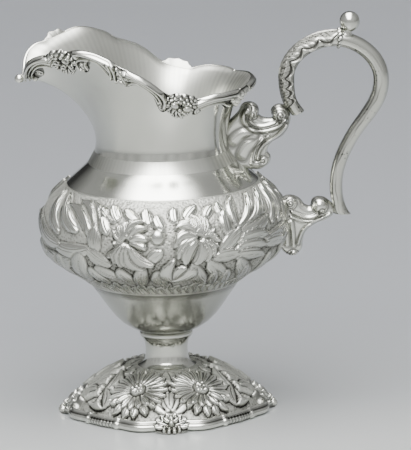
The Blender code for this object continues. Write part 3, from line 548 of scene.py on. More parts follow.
# The flared neck outside, its lining, which is thicker under the lip, and the bowl's inside.
edge_share = 1 + (edge_rise(lip_turn) - 0.3) / share_mm(lip_turn)
drawn = lip_point(lip_turn, np.linspace(0, 1, 19)[1:, None] * edge_share, lip_side)
inner_shares = np.linspace(1, 0, 9)[:, None] * edge_share
lining = lip_point(lip_turn, inner_shares, lip_side)
spread = np.hypot(lining[..., 0], lining[..., 1])
lining[..., :2] *= ((spread - sheet_wall) / spread)[..., None]
wall_spot, wall_out = wall_frame(np.maximum(lip_turn, 0.02), inner_shares, lip_side)
wall_thick = sheet_wall * np.sum(wall_spot[..., :2] * wall_out[..., :2], axis=-1) / spread
lift = np.clip(lip_wall - wall_thick, 0, None) / np.maximum(-wall_out[..., 2], 0.4)
lining[..., 2] += lift * eased(inner_shares * 2) * eased((math.radians(60) - lip_turn) / math.radians(20))
inside_line, _ = smooth_line(knots, np.linspace(body_run[-1], 0, 9)[1:])
inside_r = np.maximum(inside_line[:, :1] - sheet_wall, 0.1)
inside_z = np.maximum(inside_line[:, 1:], bowl_base + sheet_wall)
bowl_inside = round_axis(inside_r, inside_z, spin)
pole = np.zeros((1, 1))
body_points = np.concatenate([
    round_axis(pole, bowl_base, spin), turned, drawn, lining, bowl_inside,
    round_axis(pole, bowl_base + sheet_wall, spin)])


def over_body(values):
    """Marks of the turned rows, with none on the body's other rows."""
    return np.pad(values, ((1, len(body_points) - len(values) - 1), (0, 0)))


matted, oxide = over_body(matted), over_body(oxide)
# The inside is dulled by washing, with upright dark streaks that darken towards the handle, and it is darker
# inside the lip, towards its tip.
first = 1 + len(turned) + len(drawn)
matted[first:] = 0.45
streaks = np.sin(37 * spin) * np.sin(61 * spin + 1) + 0.6 * np.sin(97 * spin + 2)
in_lip = 1 - eased((np.degrees(lip_turn) - 22) / 30)
by_handle = eased((np.cos(spin) - 0.5) / 0.5) * (0.42 + 0.42 * np.sin(46 * spin) * np.sin(29 * spin + 0.5))
oxide[first:] = np.clip(0.04 + 0.07 * streaks + by_handle + 0.34 * in_lip, 0, 1)
body = sheet("raised_body", body_points, oxide=oxide, matted=matted, grain=over_body(grain))


# Sterling silver, polished by hand: nearly white and a little warm, clouded by old tarnish. Black
# silver sulphide stays in the chased lines, and matted ground is pitted with a pointed punch. The same
# dark mark also carries painted shade on some pieces.
cloud_spacing = 22.22  # mm from one cloud of tarnish to the next
pit_spacing = 1.0  # between the punch's pits
line_spacing = 0.952  # between the fine lines along a leaf
speck_spacing = 0.909  # between black specks
group_spacing = 8.33  # between groups of specks


def sterling(name, bright, dark, roughness, oxide_share, specks=0.0):
    """A silver finish that reads the piece's oxide, matted and grain marks: the first darkens
    it, both for sulphide and for painted shade. Specks are its share of black spots."""
    silver, tree, shader = new_material(name)
    shader.inputs["Metallic"].default_value = 1.0
    place = add_node(tree, "TexCoord").outputs["Object"]
    marks = [add_node(tree, "Attribute", {"attribute_name": mark}) for mark in ("oxide", "matted", "grain")]
    oxide_mark, matted_mark, grain_mark = [mark.outputs["Fac"] for mark in marks]
    cloud = add_node(tree, "TexNoise", {"Scale": 1 / (cloud_spacing * mm), "Detail": 4.0}, {"Vector": place})
    tarnish = add_node(tree, "MapRange", {"From Min": 0.45, "From Max": 0.8, "To Min": 0.0, "To Max": 0.2},
                       {"Value": cloud.outputs["Fac"]})
    punched = add_node(tree, "MapRange", {"From Min": 0.55, "From Max": 1.0}, {"Value": matted_mark})
    pits = add_node(tree, "TexVoronoi", {"Scale": 1 / (pit_spacing * mm)}, {"Vector": place})
    hollow = add_node(tree, "MapRange", {"From Min": 0.5, "From Max": 0.1, "To Max": 0.4},
                      {"Value": pits.outputs["Distance"]})
    dots = add_node(tree, "Math", {"operation": "MULTIPLY_ADD"}, {0: hollow, 1: punched, 2: tarnish})
    # Fine lines along each leaf, cut about a millimetre apart.
    spaced = add_node(tree, "Math", {"operation": "MULTIPLY", 1: 2 * math.pi / line_spacing}, {0: grain_mark})
    lines = add_node(tree, "Math", {"operation": "SINE"}, {0: spaced})
    fine = add_node(tree, "Math", {"operation": "MULTIPLY", 1: 0.14}, {0: lines})
    shade = add_node(tree, "Math", {"operation": "MULTIPLY_ADD", 1: oxide_share}, {0: oxide_mark, 2: dots})
    # Black spots of corrosion, about half a millimetre wide, in loose groups.
    spots = add_node(tree, "TexNoise", {"Scale": 1 / (speck_spacing * mm), "Detail": 1.0}, {"Vector": place})
    speck = add_node(tree, "MapRange", {"From Min": 0.62, "From Max": 0.66, "To Max": specks},
                     {"Value": spots.outputs["Fac"]})
    groups = add_node(tree, "TexNoise", {"Scale": 1 / (group_spacing * mm), "Detail": 1.0}, {"Vector": place})
    group = add_node(tree, "MapRange", {"From Min": 0.5, "From Max": 0.6}, {"Value": groups.outputs["Fac"]})
    spotted = add_node(tree, "Math", {"operation": "MULTIPLY_ADD"}, {0: speck, 1: group, 2: shade})
    tone = add_node(tree, "ValToRGB", links={"Fac": spotted})
    tone.color_ramp.elements[0].color = linear(bright)
    tone.color_ramp.elements[1].color = linear(dark)
    tree.links.new(tone.outputs["Color"], shader.inputs["Base Color"])
    rough = add_node(tree, "Math", {"operation": "MULTIPLY_ADD", 1: 0.2, 2: roughness}, {0: oxide_mark})
    rougher = add_node(tree, "Math", {"operation": "MULTIPLY_ADD", 1: 0.36}, {0: matted_mark, 2: rough})
    tree.links.new(rougher.outputs[0], shader.inputs["Roughness"])
    pitted = add_node(tree, "Math", {"operation": "MULTIPLY_ADD"},
                      {0: pits.outputs["Distance"], 1: punched, 2: fine})
    bump = add_node(tree, "Bump", {"Strength": 0.9, "Distance": 0.0003}, {"Height": pitted})
    tree.links.new(bump.outputs["Normal"], shader.inputs["Normal"])
    return silver


# Polished: sharp reflections, only a little clouded.
polished = sterling("polished_sterling", "#cbccc4", "#3a3934", 0.13, 0.75)


def finish(piece, material, slot, *nodes):
    """Gives a piece its finish and its place on the jug, and hides the CAD nodes that it stands for."""
    piece.data.materials.append(material)
    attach(piece, "root")
    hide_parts(*nodes)


finish(body, polished, "polished_silver", "body_shell")


# The rim border. Cast lengths of reeds that arch and curl into volutes, soldered round the outside
# of the edge. Dark sulphide lies between the reeds, and clips and leaves cover the joints.
def distance_to(x, y, points):
    """Distance of each place to a bent line, and how far along it the nearest point lies, 0 to 1."""
    points = np.array(points, float)
    best = np.full(np.shape(x), 1e9)
    where = np.zeros(np.shape(x))
    last = len(points) - 1
    for i, (a, b) in enumerate(zip(points, points[1:])):
        t = ((x - a[0]) * (b[0] - a[0]) + (y - a[1]) * (b[1] - a[1])) / ((b - a) ** 2).sum()
        t = np.clip(t, 0, 1)
        far = np.hypot(x - a[0] - t * (b[0] - a[0]), y - a[1] - t * (b[1] - a[1]))
        where = np.where(far < best, (i + t) / last, where)
        best = np.minimum(best, far)
    return best, where


def reed(relief, x, y, knots, radius, height, taper=0.0):
    """Lays a half-round reed along a smooth line through knots. It thins towards its end by taper."""
    line, _ = smooth_line(knots, 40)
    far, where = distance_to(x, y, line)
    half = radius * (1 - taper * where)
    rounded = np.sqrt(np.clip(1 - (far / half) ** 2, 0, 1))
    relief = relief - 0.7 * np.minimum(relief, 1.0) * bell(far - half, 0.2)
    return np.where(far < half, np.maximum(relief, height * (1 - 0.3 * taper * where) * rounded), relief)


def bead(relief, x, y, centre, radius, base):
    """A round drop on a relief."""
    far = np.hypot(x - centre[0], y - centre[1])
    drop = base + np.sqrt(np.clip(radius**2 - far**2, 0, None))
    return np.where(far < radius, np.maximum(relief, drop), relief)


def volute(relief, x, y, centre, radius, height, start, turns):
    """A rolled end: a low dome with a spiral groove."""
    far = np.hypot(x - centre[0], y - centre[1])
    dome = height * np.sqrt(np.clip(1 - (far / radius) ** 2, 0, 1))
    relief = np.where(far < radius, np.maximum(relief, dome), relief)
    t = np.linspace(0, 1, 36)
    swing = start + 2 * math.pi * turns * t
    line = np.stack([centre[0] + radius * (0.85 - 0.75 * t) * np.cos(swing),
                     centre[1] + radius * (0.85 - 0.75 * t) * np.sin(swing)], -1)
    groove, _ = distance_to(x, y, line)
    return relief - 0.6 * bell(groove, 0.26) * (far < radius * 1.05)


# Cast, and polished on its ridges only: bright tops with a softer shine, and nearly black hollows.
cast = sterling("cast_sterling", "#d6d7cf", "#1f1e1b", 0.17, 1.0)
heel_run = rim_run[-1]
border_scale = 1.2  # the border is this much taller than it is drawn
border_sink = 0.4  # mm that the drawing's level line lies below the plain edge


def with_caps(tube, axis):
    """A tube's points with its open ends drawn to their middles. Its rings follow along the axis."""
    middle = np.broadcast_to(tube.mean(axis=1 - axis, keepdims=True), tube.shape)
    return np.concatenate([np.take(middle, [0], axis), tube, np.take(middle, [-1], axis)], axis)


def border_length(name, first, last, side, lower, ornament, *nodes):
    """One border length between two places along the rim, in mm from the tip. Lower lists how far its
    lower edge hangs below the plain edge, and its ornament is worked step by step."""
    run = np.linspace(first, last, max(24, int((last - first) / 0.16)))[None, :]
    fold = np.where(run > heel_run, 2 * heel_run - run, run)
    turn = np.interp(fold, rim_run, rim_turns)
    turn = np.where(run > heel_run, 2 * math.pi - turn, turn)
    top = -edge_rise(turn)
    foot = smooth_line(lower, 60)[0]
    foot = np.interp(run, foot[:, 0], foot[:, 1]) * border_scale + border_sink
    y = top + (foot - top) * np.linspace(0, 1, 44)[:, None]
    relief = np.full_like(y, 0.15)
    for step, *how in ornament:
        relief = step(relief, fold + 0 * y, (y - border_sink) / border_scale, *how)
    edge_in = np.minimum(foot - y, 1.2 * np.minimum(run - first, last - run))
    relief = 1.1 * relief * eased(0.45 + edge_in / 0.45)
    oxide = np.clip((blurred(relief, 8, False) - relief) / 0.16 + 0.8 * (relief < 0.45), 0, 1)
    level = 0 * top
    y = np.concatenate([top + 0.35, top + 0.02, top - 0.1, y, y[-1:]])
    h = np.concatenate([level - 0.35, level - 0.2, 0.45 * relief[:1], relief, level - 0.5])
    oxide = np.concatenate([level, level, level, oxide, oxide[-1:]])
    spot, out = wall_frame(turn + 0 * y, 1 - y / share_mm(turn), side)
    points = spot + out * np.maximum(h, -0.45 * lip_wall)[..., None]
    closed = with_caps(np.concatenate([points, points[:1]]), 1)
    oxide = np.pad(np.concatenate([oxide, oxide[:1]]), ((0, 0), (1, 1)), mode="edge")
    finish(sheet(name, closed, oxide=oxide), cast, "cast_silver", *nodes)


# Places are mm along the rim from the tip and mm down the drawing. Then come a reed's radius, height
# and taper, a bead's radius and base, and a volute's radius, height, start and turns.
lip_scroll = [
    (volute, (7.8, 3.2), 1.6, 0.8, 2.0, 1.4),
    (reed, [(2.9, 3.2), (5.2, 1.6), (8.2, 1.05), (11.8, 0.9), (14.6, 2.0), (16.4, 3.9)], 0.5, 1.3),
    (reed, [(2.7, 1.6), (5.0, 0.5), (8.2, -0.2), (13.0, -0.6), (16.8, 0.1), (18.8, 2.0)], 0.54, 1.6),
    (reed, [(2.4, 0.2), (5.0, -0.4), (8.6, -1.5), (13.0, -2.1), (17.0, -1.8), (20.6, -0.1)], 0.8, 2.1),
    (bead, (3.1, 3.2), 0.9, 0.5),
]
long_scroll = [
    (reed, [(37.6, 0.9), (41.4, 0.9), (43.4, 2.6), (45.3, 4.0), (49.4, 4.0)], 0.54, 1.1),
    (reed, [(36.0, 0.0), (40.5, -0.5), (43.4, 0.5), (45.8, 2.2), (49.4, 2.5)], 0.5, 0.95),
    (reed, [(33.6, -0.3), (33.4, -1.5), (35.6, -2.1), (39.2, -2.0), (44.4, -1.8), (49.4, -1.8)], 0.84, 2.1),
    (reed, [(37.6, 0.5), (33.8, 1.1), (31.2, 2.9), (31.0, 5.0), (32.8, 5.4)], 0.58, 1.5, 0.3),
    (reed, [(34.4, 3.4), (32.9, 3.0), (33.4, 4.4)], 0.5, 1.2),
    (reed, [(35.4, 2.2), (34.6, 3.8), (34.9, 5.0)], 0.55, 1.1),
    (reed, [(46.6, -1.2), (47.1, 1.4), (46.4, 4.2)], 0.55, 1.9),
    (reed, [(48.4, -1.2), (48.9, 1.4), (48.2, 4.2)], 0.55, 1.9),
    (bead, (49.0, -2.0), 0.9, 1.0),
    (bead, (48.4, 4.0), 0.85, 0.9),
]
mid_scroll = [
    (reed, [(50.0, 4.1), (53.2, 3.7), (56.4, 1.4), (58.9, 0.5), (63.5, 0.6), (66.5, 2.2), (67.6, 4.0)],
     0.5, 1.05),
    (reed, [(54.0, 1.4), (58.0, -0.7), (63.0, -0.9), (66.6, 0.2), (69.0, 2.6)], 0.5, 1.4),
    (reed, [(53.6, -1.0), (57.5, -2.3), (61.5, -3.0), (66.0, -2.5), (69.4, -0.6), (70.3, 2.0), (69.6, 4.0)],
     0.92, 2.1),
    (volute, (68.5, 3.9), 1.6, 1.7, 0.0, 1.5),
    (reed, [(50.3, 0.8), (52.4, -0.7), (54.4, -1.6)], 0.55, 1.6),
    (reed, [(50.3, 2.2), (52.6, 1.5), (54.6, 0.4)], 0.55, 1.6),
    (reed, [(50.6, -1.2), (51.8, 0.4), (53.4, 2.6)], 0.55, 1.6),
    (reed, [(50.2, 3.3), (51.6, 3.0), (53.0, 3.4)], 0.55, 1.6),
]
back_scroll = [
    (reed, [(84.0, 2.9), (86.4, 1.8), (90.3, 1.1), (94.0, 1.3), (97.0, 2.6), (101.0, 4.0)], 0.54, 1.2),
    (reed, [(82.2, -0.4), (85.3, -1.9), (88.5, -2.8), (94.0, -3.0), (98.4, -2.4), (101.6, -1.2)], 0.92, 2.1),
    (reed, [(83.4, 1.0), (86.4, -0.1), (90.3, -0.8), (95.0, -0.6), (98.4, 0.2), (101.3, 1.6)], 0.5, 1.4),
    (volute, (83.6, 3.1), 1.35, 1.6, 1.0, -1.4),
    (bead, (100.9, 1.9), 0.8, 0.9),
]
heel = [
    (reed, [(104.5, 2.6), (108.0, 1.2), (112.0, 0.7), (117.0, 1.2), (121.0, 0.9)], 0.7, 1.1),
    (reed, [(104.5, -0.6), (108.0, -1.6), (112.0, -1.8), (117.0, -1.7), (121.0, -1.6)], 1.0, 2.0),
    (reed, [(107.0, 3.4), (109.0, 1.6), (112.0, 2.0)], 0.6, 1.5),
    (reed, [(113.5, 0.2), (115.5, 1.2), (118.0, 0.2)], 0.6, 1.5),
]
heel_beads = [
    (102.9, -1.2), (103.6, 0.5), (103.0, 2.0), (103.6, 3.4), (105.4, -0.6), (105.6, 1.4), (105.2, 2.9),
]
heel += [(bead, (place, -1.5), 0.95, 1.4) for place in np.arange(107.5, 122.0, 2.0)]
heel += [(bead, place, 1.0, 1.4) for place in heel_beads]
border_lengths = (
    ("lip_scroll", 2.4, 20.8, lip_scroll,
     [(2.4, 3.6), (5, 4.6), (8, 4.7), (11, 3.4), (13.5, 2.2), (16, 3.6), (18.5, 4.6), (20.8, 4.2)]),
    ("long_scroll", 30.2, 49.7, long_scroll,
     [(30.2, 6.0), (32, 6.6), (34, 6.0), (35.8, 4.0), (37.5, 2.2), (40, 1.7), (42.4, 2.8), (45, 4.8),
      (49.7, 4.8)]),
    ("mid_scroll", 50.0, 71.2, mid_scroll,
     [(50, 4.8), (52.5, 4.6), (55, 3.2), (58, 1.5), (61, 1.1), (64, 1.6), (66, 3.8), (68, 5.8), (70, 5.4),
      (71.2, 4.4)]),
    ("back_scroll", 81.9, 101.7, back_scroll,
     [(81.9, 4.4), (84, 4.5), (86.5, 2.9), (90, 1.9), (94, 2.1), (97, 3.5), (100, 4.8), (101.7, 4.9)]),
)
for side, word in ((-1.0, "near"), (1.0, "far")):
    for kind, first, last, ornament, lower in border_lengths:
        border_length(f"rim_{kind}_cast_{word}", first, last, side, lower, ornament, f"rim_{kind}_{word}")
heel_lower = [(102, 4.6), (104, 3.8), (108, 2.3), (113, 1.8)]
heel_lower += [(heel_run, 2.2)] + [(2 * heel_run - place, low) for place, low in heel_lower[::-1]]
border_length("rim_heel_cast", 102.0, 2 * heel_run - 102.0, -1.0, heel_lower, heel, "rim_heel_mount")


# The rim's flowers. Four cast sprays, soldered over the joints of the border: scale petals above two
# knobs and ragged leaves at the sides, cupped petals and hanging leaves by the lip.
def petals(relief, x, y, centre, angles, inner, outer, width, **how):
    """Petals about a centre at some angles in degrees, each from its inner to its outer reach."""
    for angle in np.radians(angles):
        foot = centre[0] + inner * math.cos(angle), centre[1] + inner * math.sin(angle)
        tip = centre[0] + outer * math.cos(angle), centre[1] + outer * math.sin(angle)
        relief = emboss(relief, x, y, foot, tip, width, **how)
    return relief


def cast_disc(name, lay, outline, relief_of, back, tarnish, *nodes):
    """A cast boss: a disc with a scalloped outline, its relief in front and a flat back, laid in place
    by a function of its own right, up and outward mm. Tarnish is its least and its most oxide."""
    spokes = np.linspace(0, 2 * math.pi, 161)[None, :]
    rings = np.linspace(0, 1, 44)[:, None]
    reach = outline(spokes)
    x = rings * reach * np.cos(spokes)
    y = rings * reach * np.sin(spokes)
    relief = np.maximum(relief_of(x, y), 0.1)
    oxide = np.clip((blurred(relief, 6) - relief) / 0.13 + tarnish[0] + 0.5 * (relief < 0.75), 0, tarnish[1])
    layers = [lay(x, y, relief)]
    for share, drop in ((1.0, 0.85), (1.0, 0.97), (0.97, 1.0), (0.6, 1.0), (0.0, 1.0)):
        layers.append(lay(share * x[-1:], share * y[-1:], relief[-1:] + (back - relief[-1:]) * drop))
    points = np.concatenate(layers)
    oxide = np.concatenate([oxide] + [0 * oxide[:1] + tarnish[0]] * 5)
    finish(sheet(name, points, oxide=oxide), cast, "cast_silver", *nodes)


def side_spray(x, y):
    """Rings of scales over a pair of knobs, with ragged leaves below."""
    relief = np.full_like(x, 0.4)
    relief = petals(relief, x, y, (0, 0), (-8, 18, 44, 70, 96, 122, 148, 174, 196), 3.2, 6.0, 2.6,
                    rise=0.9, lift=0.6, fullest=0.6, chase=0.6)
    relief = petals(relief, x, y, (0, -0.2), (5, 31, 57, 83, 109, 135, 161, 185), 2.2, 4.8, 2.2,
                    rise=0.8, lift=1.2, fullest=0.6, chase=0.6)
    relief = petals(relief, x, y, (0, -0.4), (30, 60, 90, 120, 150), 1.2, 3.6, 1.8,
                    rise=0.7, lift=1.8, fullest=0.6, chase=0.6)
    relief = petals(relief, x, y, (0, -1.2), (-165, -140, -115, -90, -65, -40, -15), 1.2, 6.4, 2.3,
                    rise=0.9, lift=0.6, fullest=0.55, vein=0.5, chase=0.6)
    relief = petals(relief, x, y, (0, -1.0), (-128, -102, -78, -52), 0.6, 4.2, 1.8,
                    rise=0.8, lift=1.2, fullest=0.6, chase=0.6)
    for spot, size in (((-2.3, -0.6), 1.5), ((2.3, -0.9), 1.6), ((0.0, -2.2), 0.8)):
        away = np.hypot(x - spot[0], y - spot[1])
        relief = relief - 0.8 * bell(away - size - 0.15, 0.25)
        relief = bead(relief, x, y, spot, size, 1.4)
    return relief


def lip_spray(x, y):
    """Beads along the top, cupped petals in the middle and leaves that hang below."""
    relief = np.full_like(x, 0.4)
    relief = petals(relief, x, y, (0.2, -1.0), (-175, -150, -126, -102, -78, -54, -30, -5), 1.4, 6.6, 2.5,
                    rise=0.9, lift=0.6, fullest=0.6, vein=0.5, chase=0.6)
    relief = petals(relief, x, y, (0, 1.0), (0, 26, 52, 78, 104, 130, 156, 180), 2.2, 5.6, 2.2,
                    rise=0.8, lift=0.8, fullest=0.6, chase=0.6)
    for spot, width in (
        ((-2.5, -0.2), 3.0), ((2.0, 0.3), 3.4), ((-0.7, -3.0), 2.6), ((3.2, -2.8), 2.4), ((-4.2, -2.6), 2.0),
    ):
        away = np.hypot(x - spot[0], y - spot[1])
        cup = 1.7 - 0.75 * bell(away, 0.26 * width)
        relief = relief - 0.7 * bell(away - 0.58 * width, 0.25)
        cup = cup * eased((0.5 * width - away) / 0.35)
        relief = np.where(away < 0.5 * width, np.maximum(relief, cup), relief)
    for spot in ((-3.8, 3.0), (-2.0, 4.2), (0.2, 4.6), (2.2, 4.0), (4.0, 2.6), (-1.0, 2.6), (1.0, 2.6)):
        away = np.hypot(x - spot[0], y - spot[1])
        relief = relief - 0.6 * bell(away - 0.95, 0.25)
        relief = bead(relief, x, y, spot, 0.85, 1.3)
    return relief


def flower_lay(run, drop, side):
    """Lays a boss along the wall at a place on the rim, its middle some mm below the plain edge."""
    turn = np.interp(run, rim_run, rim_turns)
    share = 1 - drop / share_mm(turn)
    by_turn = (lip_point(turn + 0.01, share, side) - lip_point(turn - 0.01, share, side)) / 0.02
    by_share = (lip_point(turn, share + 0.01, side) - lip_point(turn, share - 0.01, side)) / 0.02
    ahead = by_turn / np.linalg.norm(by_turn)
    rising = by_share - ahead * (by_share @ ahead)
    rising = rising / np.linalg.norm(rising)
    steps = np.linalg.inv([[by_turn @ ahead, by_share @ ahead], [by_turn @ rising, by_share @ rising]])

    def lay(x, y, h):
        """Points of the boss on the curved wall."""
        spot, out = wall_frame(turn + steps[0, 0] * x + steps[0, 1] * y,
                               share + steps[1, 0] * x + steps[1, 1] * y, side)
        return spot + out * h[..., None]

    return lay


def side_outline(spokes):
    """Scallops, longer below."""
    return 5.6 + 0.2 * np.cos(11 * spokes + 0.6) - 0.6 * np.clip(np.sin(spokes), -1, 0)


def lip_outline(spokes):
    """Scallops, a little longer below."""
    return 6.2 + 0.3 * np.cos(10 * spokes) - 0.4 * np.sin(spokes)


tarnished = (0.36, 1.0)
flower_back = -0.2
rim_flowers = (
    ("front", 25.2, 2.6, lip_outline, lip_spray),
    ("side", 76.6, 0.9, side_outline, side_spray),
)  # mm along the rim from the tip, mm below the plain edge
for side, word in ((-1.0, "near"), (1.0, "far")):
    for kind, run, drop, scallops, spray in rim_flowers:
        cast_disc(f"rim_{kind}_rose_{word}", flower_lay(run, drop, side), scallops, spray, flower_back,
                  tarnished, f"rim_{kind}_flower_{word}")


# The stem and its flange. The stem is a spool spun from sheet, and the flange a plain ring of wire
# that is soldered between the spool and the bowl.
def spun(name, profile, sides, axis, filled=False):
    """A ring turned about an upright axis: a circle, extruded and scaled along its profile in mm. Its
    ends can be filled."""
    bpy.ops.object.select_all(action="DESELECT")
    radius, z = profile[0]
    bpy.ops.mesh.primitive_circle_add(vertices=sides, radius=radius * mm, location=(axis, 0, z * mm))
    piece = bpy.context.object
    piece.name = piece.data.name = name
    bpy.ops.object.transform_apply()
    bpy.ops.object.mode_set(mode="EDIT")
    bpy.ops.mesh.select_all(action="SELECT")
    for (r0, z0), (r1, z1) in zip(profile, profile[1:]):
        bpy.ops.mesh.extrude_region_move(TRANSFORM_OT_translate={"value": (0, 0, (z1 - z0) * mm)})
        bpy.ops.transform.resize(value=(r1 / r0, r1 / r0, 1), center_override=(axis, 0, 0))
    bpy.ops.mesh.select_all(action="SELECT")
    bpy.ops.mesh.remove_doubles(threshold=merge_gap)
    if filled:
        bpy.ops.mesh.fill_holes(sides=0)
    bpy.ops.mesh.normals_make_consistent(inside=False)
    bpy.ops.object.mode_set(mode="OBJECT")
    bpy.ops.object.shade_smooth_by_angle(angle=math.radians(40))
    return piece


stem_wall = 0.9
stem_knots = [
    (11.7, 16.7), (10.0, 17.4), (8.6, 18.7), (8.0, 20.6), (7.8, 22.8), (7.9, 24.6), (8.4, 26.6), (9.5, 28.3),
]  # mm from the axis, mm up
stem_line, _ = smooth_line(stem_knots, 26)
stem_profile = [(r, z) for r, z in stem_line] + [(r - stem_wall, z) for r, z in stem_line[::-1]]
stem = spun("spun_stem", stem_profile + stem_profile[:1], 128, axis_x)
finish(stem, polished, "polished_silver", "stem_spool")
flange_radius = 9.0
flange_bore = 5.0
flange_half = 1.05  # half its height
flange_bulge = 0.95
flange_z = bowl_base - flange_half
flange_turns = np.radians(np.linspace(-90, 90, 13))
flange_profile = [
    (flange_radius + flange_bulge * math.cos(a), flange_z + flange_half * math.sin(a)) for a in flange_turns
]
flange_profile += [(flange_bore, bowl_base), (flange_bore, flange_z - flange_half)]
flange = spun("flange_ring", flange_profile + flange_profile[:1], 128, axis_x)
finish(flange, polished, "polished_silver", "stem_flange")


# The foot. A dome of sheet silver, embossed with four daisies among leaves on a matted ground. Its
# edge follows the border, which swells beside the four bosses.
bar_radius = 34.2
dome_edge = 33.9
dome_wall = 0.9


def border_radius(turn):
    """Inside of the foot's border. It swells in an arc on each side of a boss."""
    near = np.abs((np.degrees(turn) + 45) % 90 - 45)
    part = np.clip((near - 5) / 28, 0, 1)
    return bar_radius + 1.9 * np.sin(math.pi * part) ** 2


dome_knots = [(10.9, 17.2), (13.4, 16.7), (18.0, 15.3), (23.0, 12.7), (28.0, 9.1), (31.6, 5.4), (33.7, 1.0)]
dome_line, dome_run = smooth_line(dome_knots, 120)
spin = np.linspace(0, 2 * math.pi, 601)
swell = eased((dome_line[:, :1] / dome_edge - 0.75) / 0.25)
dome_r = dome_line[:, :1] * (1 + (border_radius(spin)[None, :] / bar_radius - 1) * swell)
dome_base = round_axis(dome_r, dome_line[:, 1:], spin)
dome_out = np.cross(np.gradient(dome_base, axis=0), round_axis(1.0, 0.0, spin + math.pi / 2))
dome_out = dome_out / np.linalg.norm(dome_out, axis=-1, keepdims=True)
dome_relief = np.full(dome_r.shape, -0.2)


def on_dome(turn, radius):
    """Coordinates of the dome's points in the plane that touches it at a place: right, up, near."""
    above, z, below = np.interp([radius - 1, radius, radius + 1], dome_line[:, 0], dome_line[:, 1])
    fall = below - above
    outward = np.array([math.cos(turn), math.sin(turn), 0])
    right = np.array([-math.sin(turn), math.cos(turn), 0])
    rising = -np.array([outward[0] * 2, outward[1] * 2, fall]) / math.hypot(2, fall)
    off = dome_base - (outward * radius + (0, 0, z))
    facing = np.cross(right, rising)
    return off @ right, off @ rising, np.abs(off @ facing) < 7


def dome_blade(relief, turn, radius, foot, tip, width, bow=0.0, **how):
    """Raises a leaf on the dome, its foot and tip in mm right and up of a place there."""
    x, y, close = on_dome(turn, radius)
    return np.where(close, emboss(relief, x, y, foot, tip, width, bow, **how), relief)


def mirrored(blades):
    """Each blade, and its mirror image unless its foot is in the middle."""
    for foot, tip, width, bow in blades:
        yield foot, tip, width, bow
        if foot[0]:
            yield (-foot[0], foot[1]), (-tip[0], tip[1]), width, -bow


# A ring of low leaves round the stem, fans under the lip and under the handle, and leaves between the
# daisies and beside them.
for turn in np.radians(np.arange(0, 360, 22.5)):
    dome_relief = dome_blade(dome_relief, turn, 16, (-0.6, 3.4), (0.8, -5.0), 5.4, 0.05,
                             rise=0.8, vein=0.35, blunt=0.5)
for turn in (0.0, math.pi):
    for foot, tip, width, bow in mirrored((
        ((-14, -7), (-19, 3), 5.6, 0.1), ((-10, -8), (-17, 6), 6.0, -0.14), ((-6, -8), (-12, 8), 6.4, -0.14),
        ((-2, -7), (-6, 10), 6.4, -0.1), ((-4, -9), (-11, -2), 5.6, -0.16), ((0, -7), (0, 9), 6.6, 0.0),
    )):
        dome_relief = dome_blade(dome_relief, turn, 24.5, foot, tip, width, bow,
                                 rise=1.9, lift=0.6, vein=0.5, blunt=0.55)
for turn in (-math.pi / 2, math.pi / 2):
    for foot, tip, width, bow in mirrored((
        ((-1.5, -9), (-7.0, -4), 4.6, -0.12), ((-0.5, -8), (-4.8, 0), 4.4, -0.1),
        ((0, -7), (0.4, 3.5), 4.6, 0.05), ((-0.5, 0), (-3.8, 9), 4.6, 0.1),
    )):
        dome_relief = dome_blade(dome_relief, turn, 25, foot, tip, width, bow,
                                 rise=1.1, lift=0.1, vein=0.4, blunt=0.55)
    for side in (-1, 1):
        for degrees, radius, foot, tip, width, rise, vein in (
            (61, 24.5, (-1, -8), (2.5, 8), 5.8, 1.7, 0.5), (52, 29, (-1, -3.5), (4, 4), 5.0, 1.0, 0.4),
            (34, 30.5, (-3, -2.6), (4, 1.5), 4.0, 0.8, 0.4),
        ):
            at = turn + side * math.radians(degrees)
            foot = side * foot[0], foot[1]
            tip = side * tip[0], tip[1]
            dome_relief = dome_blade(dome_relief, at, radius, foot, tip, width, side * 0.12,
                                     rise=rise, vein=vein, blunt=0.55)

# Four daisies: long hollowed rays, pointed ones below, about a button of knobs.
daisy_ring = 24.3
daisy_turn = 28  # degrees from the middle of a side
button_radius = 3.0
for turn in np.radians([-90 - daisy_turn, -90 + daisy_turn, 90 - daisy_turn, 90 + daisy_turn]):
    x, y, close = on_dome(turn, daisy_ring)
    daisy = petals(dome_relief, x, y, (0, 0), (-122, -100, -79, -57), 3.0, 12.6, 3.6,
                   rise=1.2, lift=0.3, fullest=0.6, vein=0.35, chase=0.35, blunt=0.9)
    daisy = petals(daisy, x, y, (0, 0), np.arange(-36, 222, 17), 2.4, 11.0, 2.9,
                   rise=1.3, lift=0.6, fullest=0.66, vein=0.55, chase=0.4, blunt=0.6)
    daisy = petals(daisy, x, y, (0, 0), (-135, -112, -90, -68, -45), 2.4, 9.0, 2.9,
                   rise=1.3, lift=0.7, fullest=0.62, vein=0.55, chase=0.4, blunt=0.7)
    away = np.hypot(x, y)
    button = 1.5 + 0.9 * np.sqrt(np.clip(1 - (away / button_radius) ** 2, 0, 1))
    button = button - 0.9 * bell(away - button_radius, 0.4)
    daisy = np.where(away < button_radius + 0.3, button, daisy)
    for i in range(9):
        spread, at = (1.8, 2 * math.pi * i / 6) if i < 6 else (0.8, 2 * math.pi * i / 3)
        daisy = bead(daisy, x, y, (spread * math.cos(at), spread * math.sin(at)), 0.72, 2.1)
    dome_relief = np.where(close, daisy, dome_relief)

dome_fade = eased((dome_run[:, None] - 1.6) / 1.6) * eased((dome_run[-1] - dome_run[:, None]) / 2.0)
dome_relief = dome_relief * dome_fade
dome_oxide = np.clip((blurred(dome_relief, 5) - dome_relief) / 0.24, 0, 0.58)
